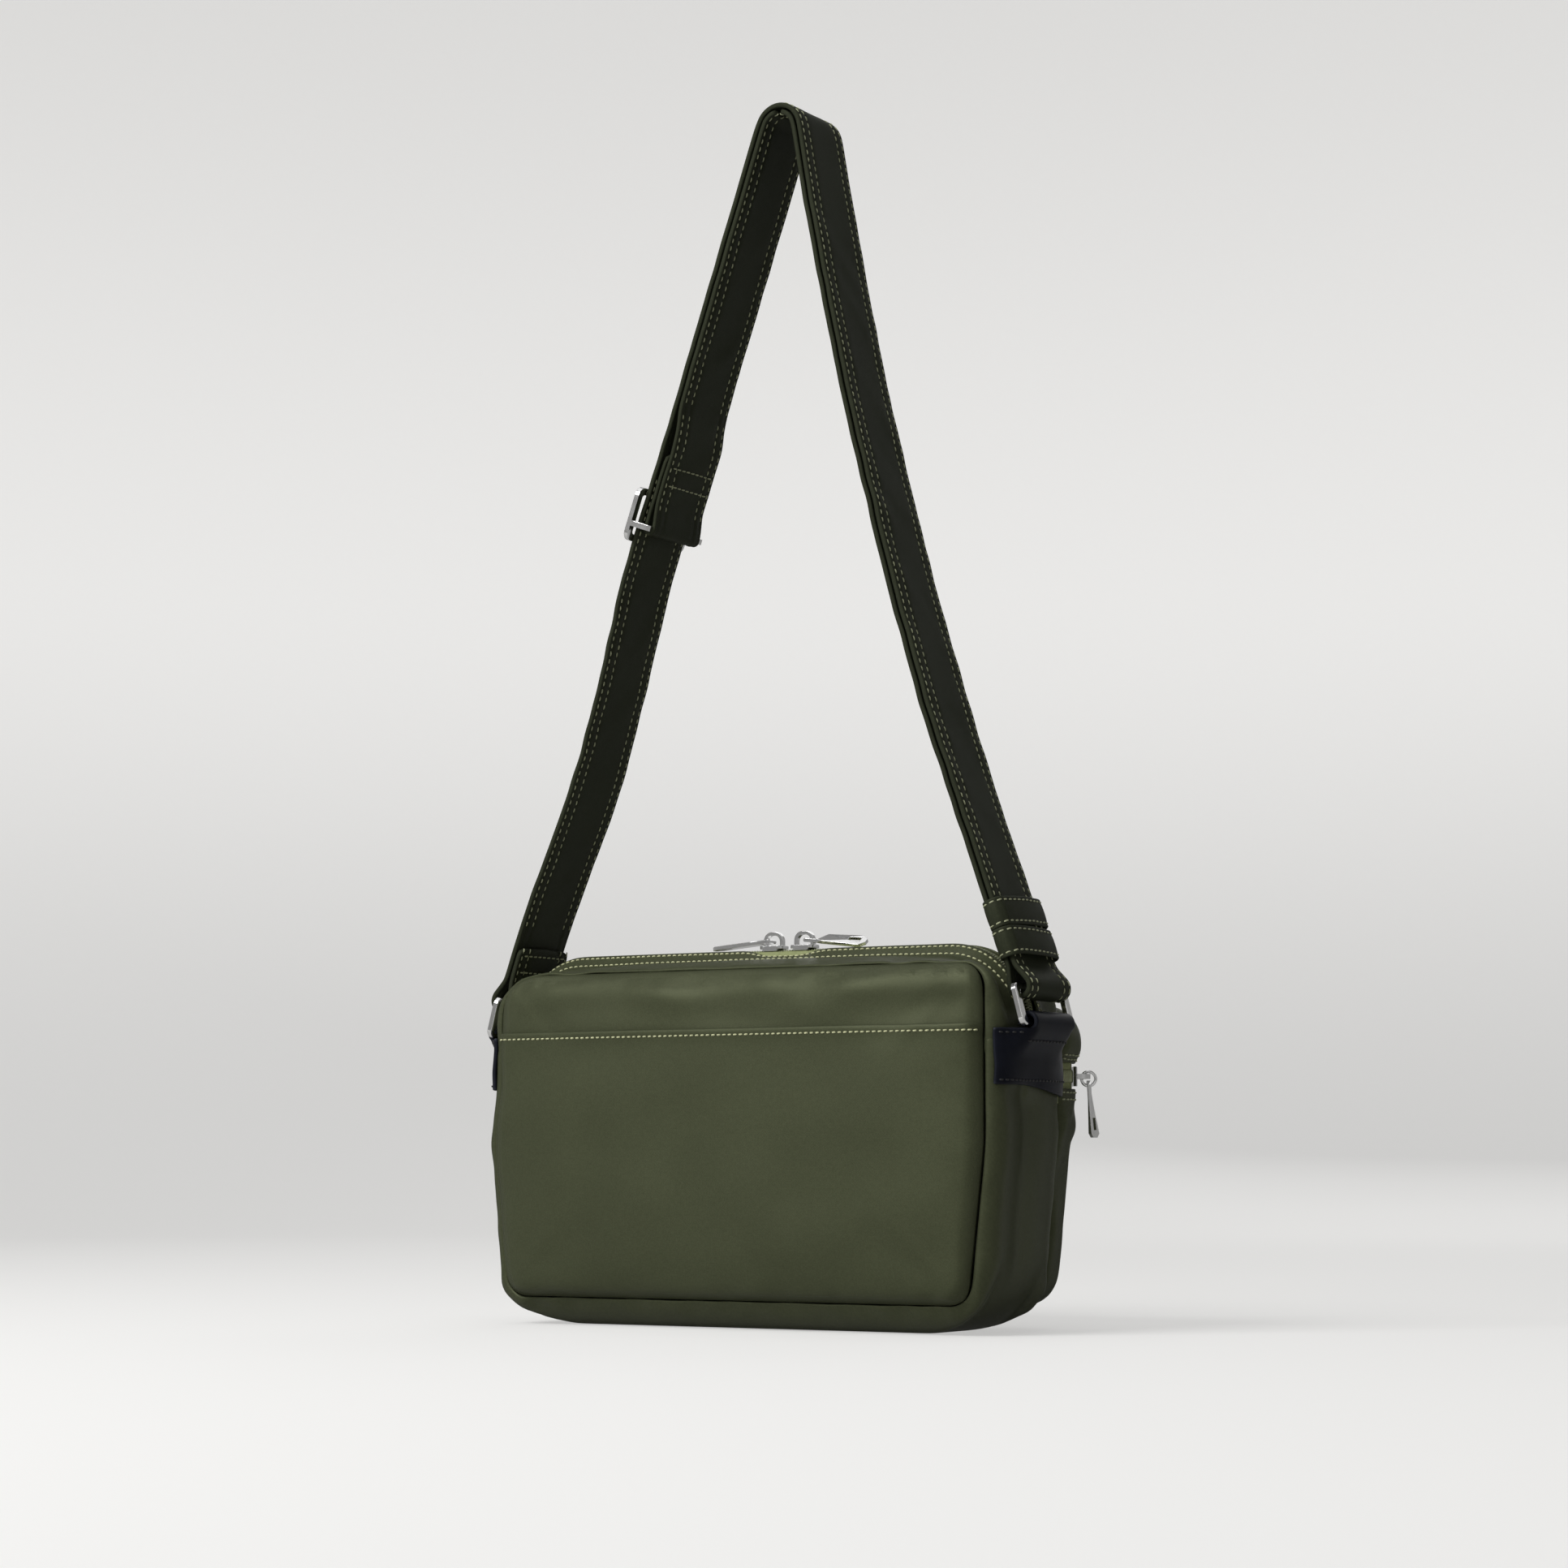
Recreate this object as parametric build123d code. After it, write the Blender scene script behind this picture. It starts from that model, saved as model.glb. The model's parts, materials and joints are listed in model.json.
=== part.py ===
from build123d import *
import os
from math import sin, cos, tan, asin, atan2, hypot, radians, degrees, sqrt

# Crossbody purse with a wrap-over main zip, a wrap-around front pocket and a doubled, adjustable strap.
# Millimetres. Origin: centre of the base, on the floor. +Z up. The zipped pocket faces -Y, the slip
# pocket faces +Y, and +X is the end that carries the strap adjuster.

# ---------------------------------------------------------------- driving dimensions
seam_half_width = 125.4      # side seam of the front and rear panels
seam_half_depth = 31.35      # half the gusset's width between the two seams
seam_bottom = 12.0           # the bottom seam hangs this far above the floor
seam_top = 157.5
seam_top_radius = 30.0
seam_bottom_radius = 34.0
taper_height = 80.0          # below this the sides draw in
taper = 8.0                  # how far they draw in at the bottom
side_bulge = 7.1             # the gusset's middle stands proud of the side seams
flat_half = 18.0             # half the flat strip that rests on the floor
top_rise = 7.5               # the bands climb from the seam to the zip
skin = 1.5                   # folded and lined shell fabric
fit_gap = 0.3                # clear space between separate pieces

zip_slot_half = 6.0          # half the gap between the two bands
zip_hump = 2.8               # the closed coil rides above the bands' edges
zip_flat_half = 2.9
tape_depth = 2.2             # tape's middle below the bag's outer surface
tape_half = 0.4
coil_inner = 0.6
coil_outer = 2.8
coil_half = 1.2
band_end_height = 117.0      # bands and gusset meet under the leather tabs
coil_end_height = 134.6

panel_puff = 3.8             # padded rear panel
pocket_sheet = 2.5
slip_hem_height = 131.0

pocket_half_width = 127.0
pocket_front = -60.0
pocket_back = -33.6
pocket_bottom = 10.0
pocket_top = 136.0
pocket_corner = 14.0
pocket_zip_height = 110.0
pocket_slot_half = 5.5

tab_bottom = 105.0
tab_top = 129.0
leather = 2.0
tab_loop_width = 36.0

ring_width = 47.0            # along the strap's width
ring_bar = 3.6               # in the ring's plane
ring_thickness = 3.0
ring_reach = 15.5            # between the middles of the two long bars
ring_lean = 15.0             # degrees, towards the bag
ring_low_x = 138.6
ring_low_z = 131.5

strap_width = 38.0
layer = 2.6                  # one folded and stitched strap layer
layer_gap = 0.2              # each layer's inner face to the strap's mid-plane
crown_x = -15.0
crown_z = 537.0
crown_radius = 9.7           # of the strap's mid-plane
fold_height = 250.0          # the strap folds over here when it drops to the front or back
fold_radius = strap_width / 2
left_leg_angle = 20.2
left_leg_crown_angle = 9.7
left_leg_radius = 1987.0
loop_inner = 3.9
loop_shift = 0.7             # the hanging loop sits a little outside the ring's bar
loop_wall = 2.2

slider_length = 12.0
pull_length = 30.0
pull_width = 7.6
pull_thickness = 1.6
pull_rest_drop = 5.0         # degrees below level
right_slider_x = -2.0
left_slider_x = -18.0
pocket_slider_angle = 32.0   # round the corner, from the end face towards the front

adjuster_height = 366.0
adjuster_length = 25.0
keeper_length = 13.5
keeper_low_start = 12.4      # along the leg, from the ring's bar
far = 400.0                  # larger than the bag, for half-space cutters

parts_folder = "parts"
os.makedirs(parts_folder, exist_ok=True)


def write(name, shape):
    export_step(shape, f"{parts_folder}/{name}.step")


# ---------------------------------------------------------------- bag outline
def outline(y, half_width, bottom, top, top_radius, bottom_radius):
    """One upright outline of the bag, tapered at the foot and rounded at all corners, at depth y."""
    shape = Polygon(
        (half_width, top),
        (half_width, taper_height),
        (half_width - taper, bottom),
        (-half_width + taper, bottom),
        (-half_width, taper_height),
        (-half_width, top),
        align=None,
    )
    shape = fillet(shape.vertices().group_by(Axis.Y)[-1], top_radius)
    shape = fillet(shape.vertices().group_by(Axis.Y)[0], bottom_radius)
    return Plane(origin=(0, y, 0), x_dir=(1, 0, 0), z_dir=(0, -1, 0)) * shape


def seam_outline(y, grow=0.0):
    return outline(
        y,
        seam_half_width + grow,
        seam_bottom - grow,
        seam_top + grow,
        seam_top_radius + grow,
        seam_bottom_radius + grow,
    )


def body_outline(y, grow=0.0):
    """The bag's outer outline at depth y, grown outwards by grow."""
    depth = min(abs(y), seam_half_depth)
    bulge = side_bulge * sqrt(1 - (depth / seam_half_depth) ** 2)
    past_flat = max(0.0, depth - flat_half) / (seam_half_depth - flat_half)
    lift = seam_bottom * past_flat**1.5
    climb = (1 - max(depth, zip_slot_half) / seam_half_depth) / (1 - zip_slot_half / seam_half_depth)
    rise = top_rise * climb**0.8
    if depth <= zip_flat_half:
        rise += zip_hump
    return outline(
        y,
        seam_half_width + bulge + grow,
        lift - grow,
        seam_top + rise + grow,
        seam_top_radius + bulge + grow,
        seam_bottom_radius + bulge + grow,
    )


def body_solid(grow=0.0, overrun=0.0):
    """The whole bag as one solid, through stations across its depth."""
    half = [zip_flat_half, zip_slot_half, 12.0, flat_half, 23.0, 27.0, 29.8, seam_half_depth]
    if overrun:
        half.append(seam_half_depth + overrun)
    stations = [-y for y in reversed(half)] + half
    return loft([body_outline(y, grow) for y in stations], ruled=True)


def body_shell(outer, inner):
    """The layer between two depths below the bag's surface."""
    return body_solid(-outer) - body_solid(-inner, overrun=1.0)


def between(x=(-far, far), y=(-far, far), z=(-far, 2 * far)):
    size = [b - a for a, b in (x, y, z)]
    middle = [(a + b) / 2 for a, b in (x, y, z)]
    return Pos(*middle) * Box(*size)


def outline_prism(y0, y1, grow):
    face = seam_outline(y0, grow)
    return extrude(face, amount=y1 - y0, dir=(0, 1, 0))


# ---------------------------------------------------------------- panels and gusset
panel_start = seam_half_depth + 0.25
panel_end = panel_start + panel_puff
back_panel = loft([seam_outline(panel_start, -0.2), seam_outline(panel_end - 1.8, -0.2)], ruled=True)
back_panel += loft([seam_outline(panel_end - 1.8, -0.2), seam_outline(panel_end, -3.0)], ruled=True)
write("back_panel", back_panel)

slip_start = panel_end + fit_gap
back_pocket = outline_prism(slip_start, slip_start + pocket_sheet, -3.2)
back_pocket &= between(z=(0, slip_hem_height))
write("back_pocket", back_pocket)

write("rear_padding", outline_prism(28.0, 31.0, -4.8))
write("front_panel", outline_prism(-panel_start - skin, -panel_start, -0.2))

skin_shell = body_shell(0, skin)
write("main_gusset", skin_shell & between(z=(-10, band_end_height - 0.15)))
above_bands = (band_end_height + 0.15, far)
write("top_band_rear", skin_shell & between(y=(zip_slot_half, far), z=above_bands))
write("top_band_front", skin_shell & between(y=(-far, -zip_slot_half), z=above_bands))

for name, y0 in (("seam_binding_rear", 28.0), ("seam_binding_front", -30.8)):
    write(name, outline_prism(y0, y0 + 2.8, -2.2) - outline_prism(y0, y0 + 2.8, -3.6))

lining_depth = 27.5
lining_sheet = 0.6
lining = body_solid(-5.0) & between(y=(-lining_depth, lining_depth))
inside = (-lining_depth + lining_sheet, lining_depth - lining_sheet)
lining -= body_solid(-5.0 - lining_sheet) & between(y=inside)
lining -= between(y=(-8, 8), z=(125, far))
write("lining", lining)

write("base_board", between((-84, 84), (-17.5, 17.5), (skin + 0.4, skin + 2.4)))
write("inner_pocket", between((-70, 70), (25.0, 26.0), (35, 112)))

# ---------------------------------------------------------------- main zip
tape_shell = body_shell(tape_depth - tape_half, tape_depth + tape_half)
coil_shell = body_shell(tape_depth - coil_half, tape_depth + coil_half)
for side, sign in (("rear", 1), ("front", -1)):
    tape_y = sorted((sign * zip_flat_half, sign * 14.0))
    coil_y = sorted((sign * coil_inner, sign * coil_outer))
    write(f"main_zip_tape_{side}", tape_shell & between(y=tape_y, z=(band_end_height + 2, far)))
    write(f"main_zip_coil_{side}", coil_shell & between(y=coil_y, z=(coil_end_height, far)))

body_end = seam_half_width + side_bulge
stop_x = sorted((body_end - tape_depth - 1.1, body_end - tape_depth + 1.1))
stop = between(stop_x, (-coil_outer, coil_outer), (coil_end_height - 2.6, coil_end_height - 0.6))
write("main_zip_stops", Compound(children=[stop, mirror(stop, Plane.YZ)]))


# ---------------------------------------------------------------- front pocket
def pocket_solid(inset=0.0, back=pocket_back):
    """The pocket's outer form: a tapered outline with its front edge well rounded."""
    half_width = pocket_half_width - inset
    shape = Polygon(
        (half_width, pocket_top - inset),
        (half_width, taper_height),
        (half_width - taper, pocket_bottom + inset),
        (-half_width + taper, pocket_bottom + inset),
        (-half_width, taper_height),
        (-half_width, pocket_top - inset),
        align=None,
    )
    shape = fillet(shape.vertices().group_by(Axis.Y)[-1], 16 - inset)
    shape = fillet(shape.vertices().group_by(Axis.Y)[0], 30 - inset)
    face = Plane(origin=(0, back, 0), x_dir=(1, 0, 0), z_dir=(0, -1, 0)) * shape
    block = extrude(face, amount=back - pocket_front - inset, dir=(0, -1, 0))
    return fillet(block.faces().sort_by(Axis.Y)[0].edges(), pocket_corner - inset)


def pocket_shell(outer, inner):
    return pocket_solid(outer) - pocket_solid(inner, back=pocket_back + 5)


pocket_skin = pocket_shell(0, skin)
zip_low = pocket_zip_height - pocket_slot_half
zip_high = pocket_zip_height + pocket_slot_half
write("front_pocket_hood", pocket_skin & between(z=(zip_high, far)))
write("front_pocket_pouch", pocket_skin & between(z=(0, zip_low)))

pocket_tape = pocket_shell(tape_depth - tape_half, tape_depth + tape_half)
pocket_coil = pocket_shell(tape_depth - coil_half, tape_depth + coil_half)
coil_back = pocket_back - 5.0
for side, sign in (("upper", 1), ("lower", -1)):
    tape_z = sorted(pocket_zip_height + sign * d for d in (zip_flat_half, 12.0))
    coil_z = sorted(pocket_zip_height + sign * d for d in (coil_inner, coil_outer))
    write(f"pocket_zip_tape_{side}", pocket_tape & between(z=tape_z))
    write(f"pocket_zip_coil_{side}", pocket_coil & between(y=(-far, coil_back), z=coil_z))

stop_x = (pocket_half_width - tape_depth - 1.1, pocket_half_width - tape_depth + 1.1)
stop_z = (pocket_zip_height - coil_outer, pocket_zip_height + coil_outer)
stop = between(stop_x, (coil_back + 0.6, coil_back + 2.6), stop_z)
write("pocket_zip_stops", Compound(children=[stop, mirror(stop, Plane.YZ)]))


# ---------------------------------------------------------------- sliders and pulls
# Local frame of a slider: x along its travel, y across the tape, z away from the bag, tape at z = 0.
plate_gap = 1.5
plate = 1.4
crown_height = 6.3
crown_half = 5.0
crown_bar = 1.5
crown_width = 2.2
eye_x = 1.9                  # pull's pivot, towards the pull's side
eye_z = plate_gap + plate + 2.1
eye_radius = 0.9
arm_reach = 5.4


def crown():
    """The arch over the slider that holds the pull."""
    outer = Rectangle(2 * crown_half, crown_height, align=(Align.CENTER, Align.MIN))
    outer = fillet(outer.vertices().group_by(Axis.Y)[-1], 4.2)
    inner = Rectangle(2 * (crown_half - crown_bar), crown_height - crown_bar, align=(Align.CENTER, Align.MIN))
    inner = fillet(inner.vertices().group_by(Axis.Y)[-1], 2.9)
    upright = Plane(origin=(0, 0, plate_gap + plate), x_dir=(1, 0, 0), z_dir=(0, -1, 0))
    return extrude(upright * (outer - inner), amount=crown_width / 2, both=True)


def straight_slider():
    half = slider_length / 2
    top = between((-half, half), (-4.3, 4.3), (plate_gap, plate_gap + plate))
    top = fillet(top.edges().filter_by(Axis.Z), 2.4)
    low = between((-half, half), (-3.4, 3.4), (-plate_gap - plate, -plate_gap))
    low = fillet(low.edges().filter_by(Axis.Z), 2.4)
    body = top + low + between((-half + 1, half - 5), (-0.4, 0.4), (-plate_gap - 0.5, plate_gap + 0.5))
    for side in (-1, 1):
        flange_y = sorted((side * 3.3, side * 4.3))
        body += between((-half + 2.4, half - 2.4), flange_y, (plate_gap - 1.0, plate_gap + 0.2))
    return body + crown()


def pull():
    """Eye bar at the origin, two arms either side of the crown, and a plate with a slot near its tip."""
    arm = (crown_width / 2 + 0.3, pull_width / 2 - 0.6)
    bar = Rot(90, 0, 0) * Cylinder(eye_radius, 2 * arm[1])
    half = pull_thickness / 2
    for side in (-1, 1):
        arm_y = sorted((side * arm[0], side * arm[1]))
        bar += between((0, arm_reach + 0.5), arm_y, (-half, half))
    blade = Polygon(
        (arm_reach, -pull_width / 2 + 0.6),
        (arm_reach + 3, -pull_width / 2),
        (pull_length - 2.5, -pull_width / 2),
        (pull_length, -pull_width / 2 + 2.5),
        (pull_length, pull_width / 2 - 2.5),
        (pull_length - 2.5, pull_width / 2),
        (arm_reach + 3, pull_width / 2),
        (arm_reach, pull_width / 2 - 0.6),
        align=None,
    )
    window = Polygon(
        (pull_length - 9, -1.2), (pull_length - 3, -2.0), (pull_length - 3, 2.0), (pull_length - 9, 1.2), align=None
    )
    return bar + extrude(blade - window, amount=half, both=True)


zip_top = seam_top + top_rise + zip_hump - tape_depth
slider_plane = {
    "right": Plane(origin=(right_slider_x, 0, zip_top), x_dir=(1, 0, 0), z_dir=(0, 0, 1)),
    "left": Plane(origin=(left_slider_x, 0, zip_top), x_dir=(-1, 0, 0), z_dir=(0, 0, 1)),
}
for side, plane in slider_plane.items():
    write(f"main_slider_{side}", plane * straight_slider())
    write(f"main_pull_{side}", plane * (Pos(eye_x, 0, eye_z) * (Rot(0, pull_rest_drop, 0) * pull())))

# The pocket's slider is bent to the corner it is parked on.
corner_x = -(pocket_half_width - pocket_corner)
corner_y = pocket_front + pocket_corner
track_radius = pocket_corner - tape_depth
slider_half_angle = 18.0


def corner_sector(r0, r1, half_height, half_angle):
    ring = Cylinder(r1, 2 * half_height) - Cylinder(r0, 2 * half_height + 1)
    reach = 3 * r1
    wedge = Polygon(
        (0, 0),
        (reach, -reach * tan(radians(half_angle))),
        (reach, reach * tan(radians(half_angle))),
        align=None,
    )
    return ring & extrude(wedge, amount=half_height + 1, both=True)


def pocket_frame(angle):
    """x away from the bag, y along the tape, z up, with the corner's centre as origin."""
    a = radians(180 + angle)
    return Plane(origin=(corner_x, corner_y, pocket_zip_height), x_dir=(cos(a), sin(a), 0), z_dir=(0, 0, 1))


top_r = track_radius + plate_gap
low_r = track_radius - plate_gap
corner_slider = corner_sector(top_r, top_r + plate, 4.3, slider_half_angle)
corner_slider += corner_sector(low_r - plate, low_r, 3.4, slider_half_angle)
corner_slider += corner_sector(low_r - 0.5, top_r + 0.5, 0.4, 6)
# the arch stands on the bent plate, along the track, so its feet reach down to the plate's ends
foot = 0.6
arch = Pos(0, 0, -foot) * crown()
arch_plane = Plane(origin=(track_radius, 0, 0), x_dir=(0, 1, 0), z_dir=(1, 0, 0))
arch = (arch_plane * arch) - Cylinder(top_r + 0.5, 20)
corner_slider += arch
at_rest = pocket_frame(pocket_slider_angle)
write("pocket_slider", at_rest * corner_slider)

bridge_x = track_radius + plate_gap + plate + crown_height - foot - crown_bar / 2
link_wire = 0.7
link_radius = 3.1
link_drop = 1.0
link = Plane(origin=(bridge_x, 0, -link_drop), x_dir=(1, 0, 0), z_dir=(0, 1, 0)) * Torus(link_radius, link_wire)
write("pocket_pull_link", at_rest * link)

# A flat tab hangs from the link, pierced at its head.
tab_top_z = -link_drop - link_radius + 2.3
tab_long = 25.0
tab_shape = Rectangle(pull_width - 0.8, tab_long, align=(Align.CENTER, Align.MAX))
tab_shape = chamfer(tab_shape.vertices(), 1.8)
eye = Pos(0, -2.6) * Circle(1.35)
slot = Pos(0, -tab_long + 6) * Rectangle(2.6, 5.5)
tab_plane = Plane(origin=(bridge_x, 0, tab_top_z), x_dir=(0, 1, 0), z_dir=(1, 0, 0))
tab = extrude(tab_plane * (tab_shape - eye - slot), amount=pull_thickness / 2, both=True)
write("pocket_pull_tab", at_rest * tab)


# ---------------------------------------------------------------- leather tabs and rings
lean = radians(ring_lean)
bar_x = ring_low_x - ring_reach * sin(lean)
bar_z = ring_low_z + ring_reach * cos(lean)


def leather_tab():
    """A band over the gusset's +X end whose middle turns over the ring's lower bar."""
    band = body_solid(fit_gap + leather) - body_solid(fit_gap, overrun=1.0)
    band &= between((60, far), (-30.9, 30.9), (tab_bottom, tab_top))
    half = tab_loop_width / 2
    across = Plane(origin=(ring_low_x, 0, ring_low_z), x_dir=(1, 0, 0), z_dir=(0, -1, 0))
    inner_x = body_end + fit_gap - ring_low_x
    turned = Circle(2.8 + leather)
    outer_x = 2.8 + leather
    turned += Polygon(
        (inner_x, -2.5), (inner_x + 0.4, -16), (inner_x + 2 * leather, -16), (outer_x, 0), (0, 0), align=None
    )
    turned -= Circle(2.8)
    loop = extrude(across * turned, amount=half, both=True)
    return band + loop


def ring():
    """A rounded rectangular ring, upright and leaning over the bag, its lower bar in the leather loop."""
    height = ring_reach + ring_bar
    outer = RectangleRounded(ring_width, height, 3.5)
    inner = RectangleRounded(ring_width - 2 * ring_bar, height - 2 * ring_bar, 1.4)
    middle = ((ring_low_x + bar_x) / 2, 0, (ring_low_z + bar_z) / 2)
    plane = Plane(origin=middle, x_dir=(0, 1, 0), z_dir=(cos(lean), 0, sin(lean)))
    solid = extrude(plane * (outer - inner), amount=ring_thickness / 2, both=True)
    return chamfer(solid.edges().filter_by(Axis.Y), 0.5)


tab_right = leather_tab()
ring_right = ring()
write("leather_tab_right", tab_right)
write("leather_tab_left", mirror(tab_right, Plane.YZ))
write("ring_right", ring_right)
write("ring_left", mirror(ring_right, Plane.YZ))


# ---------------------------------------------------------------- strap
outer_face = layer_gap + layer
to_crown = hypot(bar_x - crown_x, crown_z - bar_z)
right_leg_angle = degrees(atan2(bar_x - crown_x, crown_z - bar_z) - asin(crown_radius / to_crown))
right_leg = radians(right_leg_angle)
left_leg = radians(left_leg_angle)


def leg_plane(side, along):
    """x away from the strap's inside, y up the leg, origin on the mid-plane at a distance up the leg."""
    a = right_leg if side > 0 else left_leg
    origin = (side * (bar_x - along * sin(a)), 0, bar_z + along * cos(a))
    return Plane(origin=origin, x_dir=(side * cos(a), 0, sin(a)), z_dir=(0, -side, 0))


def leg_block(side, n, along, half_width):
    """A block on a leg: n across the thickness, along the leg's length."""
    shape = Pos((n[0] + n[1]) / 2, (along[0] + along[1]) / 2) * Rectangle(n[1] - n[0], along[1] - along[0])
    return extrude(leg_plane(side, 0) * shape, amount=half_width, both=True)


def teardrop(radius, half_width, end):
    """Outline round a bar at the origin that closes to a strip of half_width at height end."""
    reach = hypot(half_width, end)
    turn = atan2(end, half_width) - asin(sqrt(1 - (radius / reach) ** 2))
    x = radius * cos(turn)
    y = radius * sin(turn)
    return Circle(radius) + Polygon((x, y), (half_width, end), (-half_width, end), (-x, y), align=None)


def strap_stub(side, tail_length):
    """The strap from its fold down and round the ring's upper bar, and back up as the inner layer."""
    a = right_leg if side > 0 else left_leg
    length = (fold_height - fold_radius - 0.5 - bar_z) / cos(a) + 6
    close = 8.5
    shape = teardrop(loop_inner + loop_wall, outer_face, close)
    shape += Pos(0, (close + length) / 2) * Rectangle(2 * outer_face, length - close)
    shape -= teardrop(loop_inner, layer_gap, close - 1)
    shape -= Pos(0, (close - 1 + length) / 2) * Rectangle(2 * layer_gap, length - close + 1.2)
    if tail_length < length:
        shape -= Pos(-outer_face, (tail_length + length) / 2 + 5) * Rectangle(2 * outer_face, length - tail_length + 10)
    plane = leg_plane(side, 0)
    plane.origin += plane.x_dir * loop_shift
    solid = extrude(plane * shape, amount=strap_width / 2, both=True)
    return solid & between(z=(0, fold_height - fold_radius - 0.5))


write("strap_loop_left", strap_stub(-1, far))
write("strap_loop_right", strap_stub(1, 27.0))


def strap_strip(n0, n1, start_z):
    """One strap layer over the crown, between two distances from the strap's mid-plane."""
    crown_point = Vector(crown_x, 0, crown_z)
    n_right = Vector(cos(right_leg), 0, sin(right_leg))
    up_right = Vector(-sin(right_leg), 0, cos(right_leg))
    low_z = fold_height - fold_radius - 1

    def left_normal(angle):
        return Vector(-cos(radians(angle)), 0, sin(radians(angle)))

    arc_centre = crown_point + left_normal(left_leg_crown_angle) * (crown_radius + left_leg_radius)
    sweep_angle = degrees((crown_z - low_z) / left_leg_radius / cos(radians(14)))

    def left_point(n, share):
        angle = left_leg_crown_angle + share * sweep_angle
        return arc_centre - left_normal(angle) * (left_leg_radius - n)

    def edges(n):
        radius = crown_radius + n
        top = crown_point + n_right * radius
        bottom = top - up_right * ((top.Z - start_z) / cos(right_leg))
        apex = crown_point + Vector(0, 0, radius)
        over = left_point(n, 0)
        return bottom, [
            Line(bottom, top),
            ThreePointArc(top, apex, over),
            ThreePointArc(over, left_point(n, 0.5), left_point(n, 1)),
        ]

    low_end, low_edges = edges(n0)
    high_end, high_edges = edges(n1)
    closing = [Line(low_end, high_end), Line(left_point(n0, 1), left_point(n1, 1))]
    face = make_face(low_edges + high_edges + closing)
    strip = extrude(face, amount=strap_width / 2, both=True, dir=(0, 1, 0))
    rounded = Pos(0, 0, fold_height) * (Rot(0, 90, 0) * Cylinder(fold_radius, far))
    return strip & (between(z=(fold_height, 2 * far)) + rounded)


adjuster_along = (adjuster_height - bar_z) / cos(right_leg)
adjuster_travel_up = 30.0
sewn_length = 36.0
inner_start = adjuster_height + (sewn_length + adjuster_travel_up - 2) * cos(right_leg)
write("strap_outer_layer", strap_strip(layer_gap, outer_face, fold_height - fold_radius - 1))
write("strap_inner_layer", strap_strip(-outer_face, -layer_gap, inner_start))

# ---------------------------------------------------------------- adjuster
# The flat frame lies outside the strap. Its middle bar is stepped through to the inside, where the
# inner layer's end is sewn round it.
frame_n = (outer_face + 0.4, outer_face + 2.6)
frame_half = 23.5
window_half = 20.2
bar_half = 1.3
bar_along = -4.5
bar_n = -4.9


def adjuster_frame():
    plane = leg_plane(1, adjuster_along)
    lying = Plane(origin=plane.origin, x_dir=(0, 1, 0), z_dir=plane.x_dir)
    half = adjuster_length / 2
    outline_2d = RectangleRounded(2 * frame_half, adjuster_length, 4)
    window = RectangleRounded(2 * window_half, adjuster_length - 6.4, 1.5)
    frame = extrude(lying.offset(frame_n[0]) * (outline_2d - window), amount=frame_n[1] - frame_n[0])
    lift = adjuster_along + bar_along
    middle = leg_block(1, (bar_n - 1.1, bar_n + 1.1), (lift - bar_half, lift + bar_half), frame_half - 0.8)
    lug = leg_block(1, (bar_n - 1.1, frame_n[0] + 0.5), (lift - bar_half, lift + bar_half), frame_half - 0.8)
    hollow = leg_block(1, (bar_n - 2, frame_n[0] + 1), (lift - 5, lift + 5), window_half)
    return frame + middle + (lug - hollow)


def sewn_end():
    """The inner layer's end: up two plies thick, and round the adjuster's middle bar."""
    centre = Pos(bar_n, bar_along)
    ply_n = (-outer_face - 2.2, -layer_gap - 0.2)
    mid_n = (ply_n[0] + ply_n[1]) / 2
    join = 12.0
    outer = make_hull([*(centre * Circle(4.2)).edges(), Line((ply_n[0], join), (ply_n[1], join))])
    outer += Pos(mid_n, (join + sewn_length - 4) / 2) * Rectangle(ply_n[1] - ply_n[0], sewn_length - 4 - join)
    inner = make_hull([*(centre * Circle(2.0)).edges(), Line((mid_n - 0.1, join - 3), (mid_n + 0.1, join - 3))])
    return extrude(leg_plane(1, adjuster_along) * (outer - inner), amount=strap_width / 2, both=True)


write("adjuster_frame", adjuster_frame())
write("strap_sewn_end", sewn_end())

# ---------------------------------------------------------------- keepers
keeper_wall = 1.5
keeper_n = outer_face + 0.4
keeper_y = strap_width / 2 + 0.5


def keeper(start):
    span = (start, start + keeper_length)
    outer = leg_block(-1, (-keeper_n - keeper_wall, keeper_n + keeper_wall), span, keeper_y + keeper_wall)
    inner = leg_block(-1, (-keeper_n, keeper_n), (span[0] - 1, span[1] + 1), keeper_y)
    plane = leg_plane(-1, 0)
    return Pos(*(plane.x_dir * loop_shift)) * (outer - inner)


write("keeper_lower", keeper(keeper_low_start))
write("keeper_upper", keeper(keeper_low_start + keeper_length + 0.4))
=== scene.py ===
import json
import math
from contextlib import contextmanager

import bpy
import bmesh
import numpy as np
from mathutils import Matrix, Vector, noise
from mathutils.bvhtree import BVHTree


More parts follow.
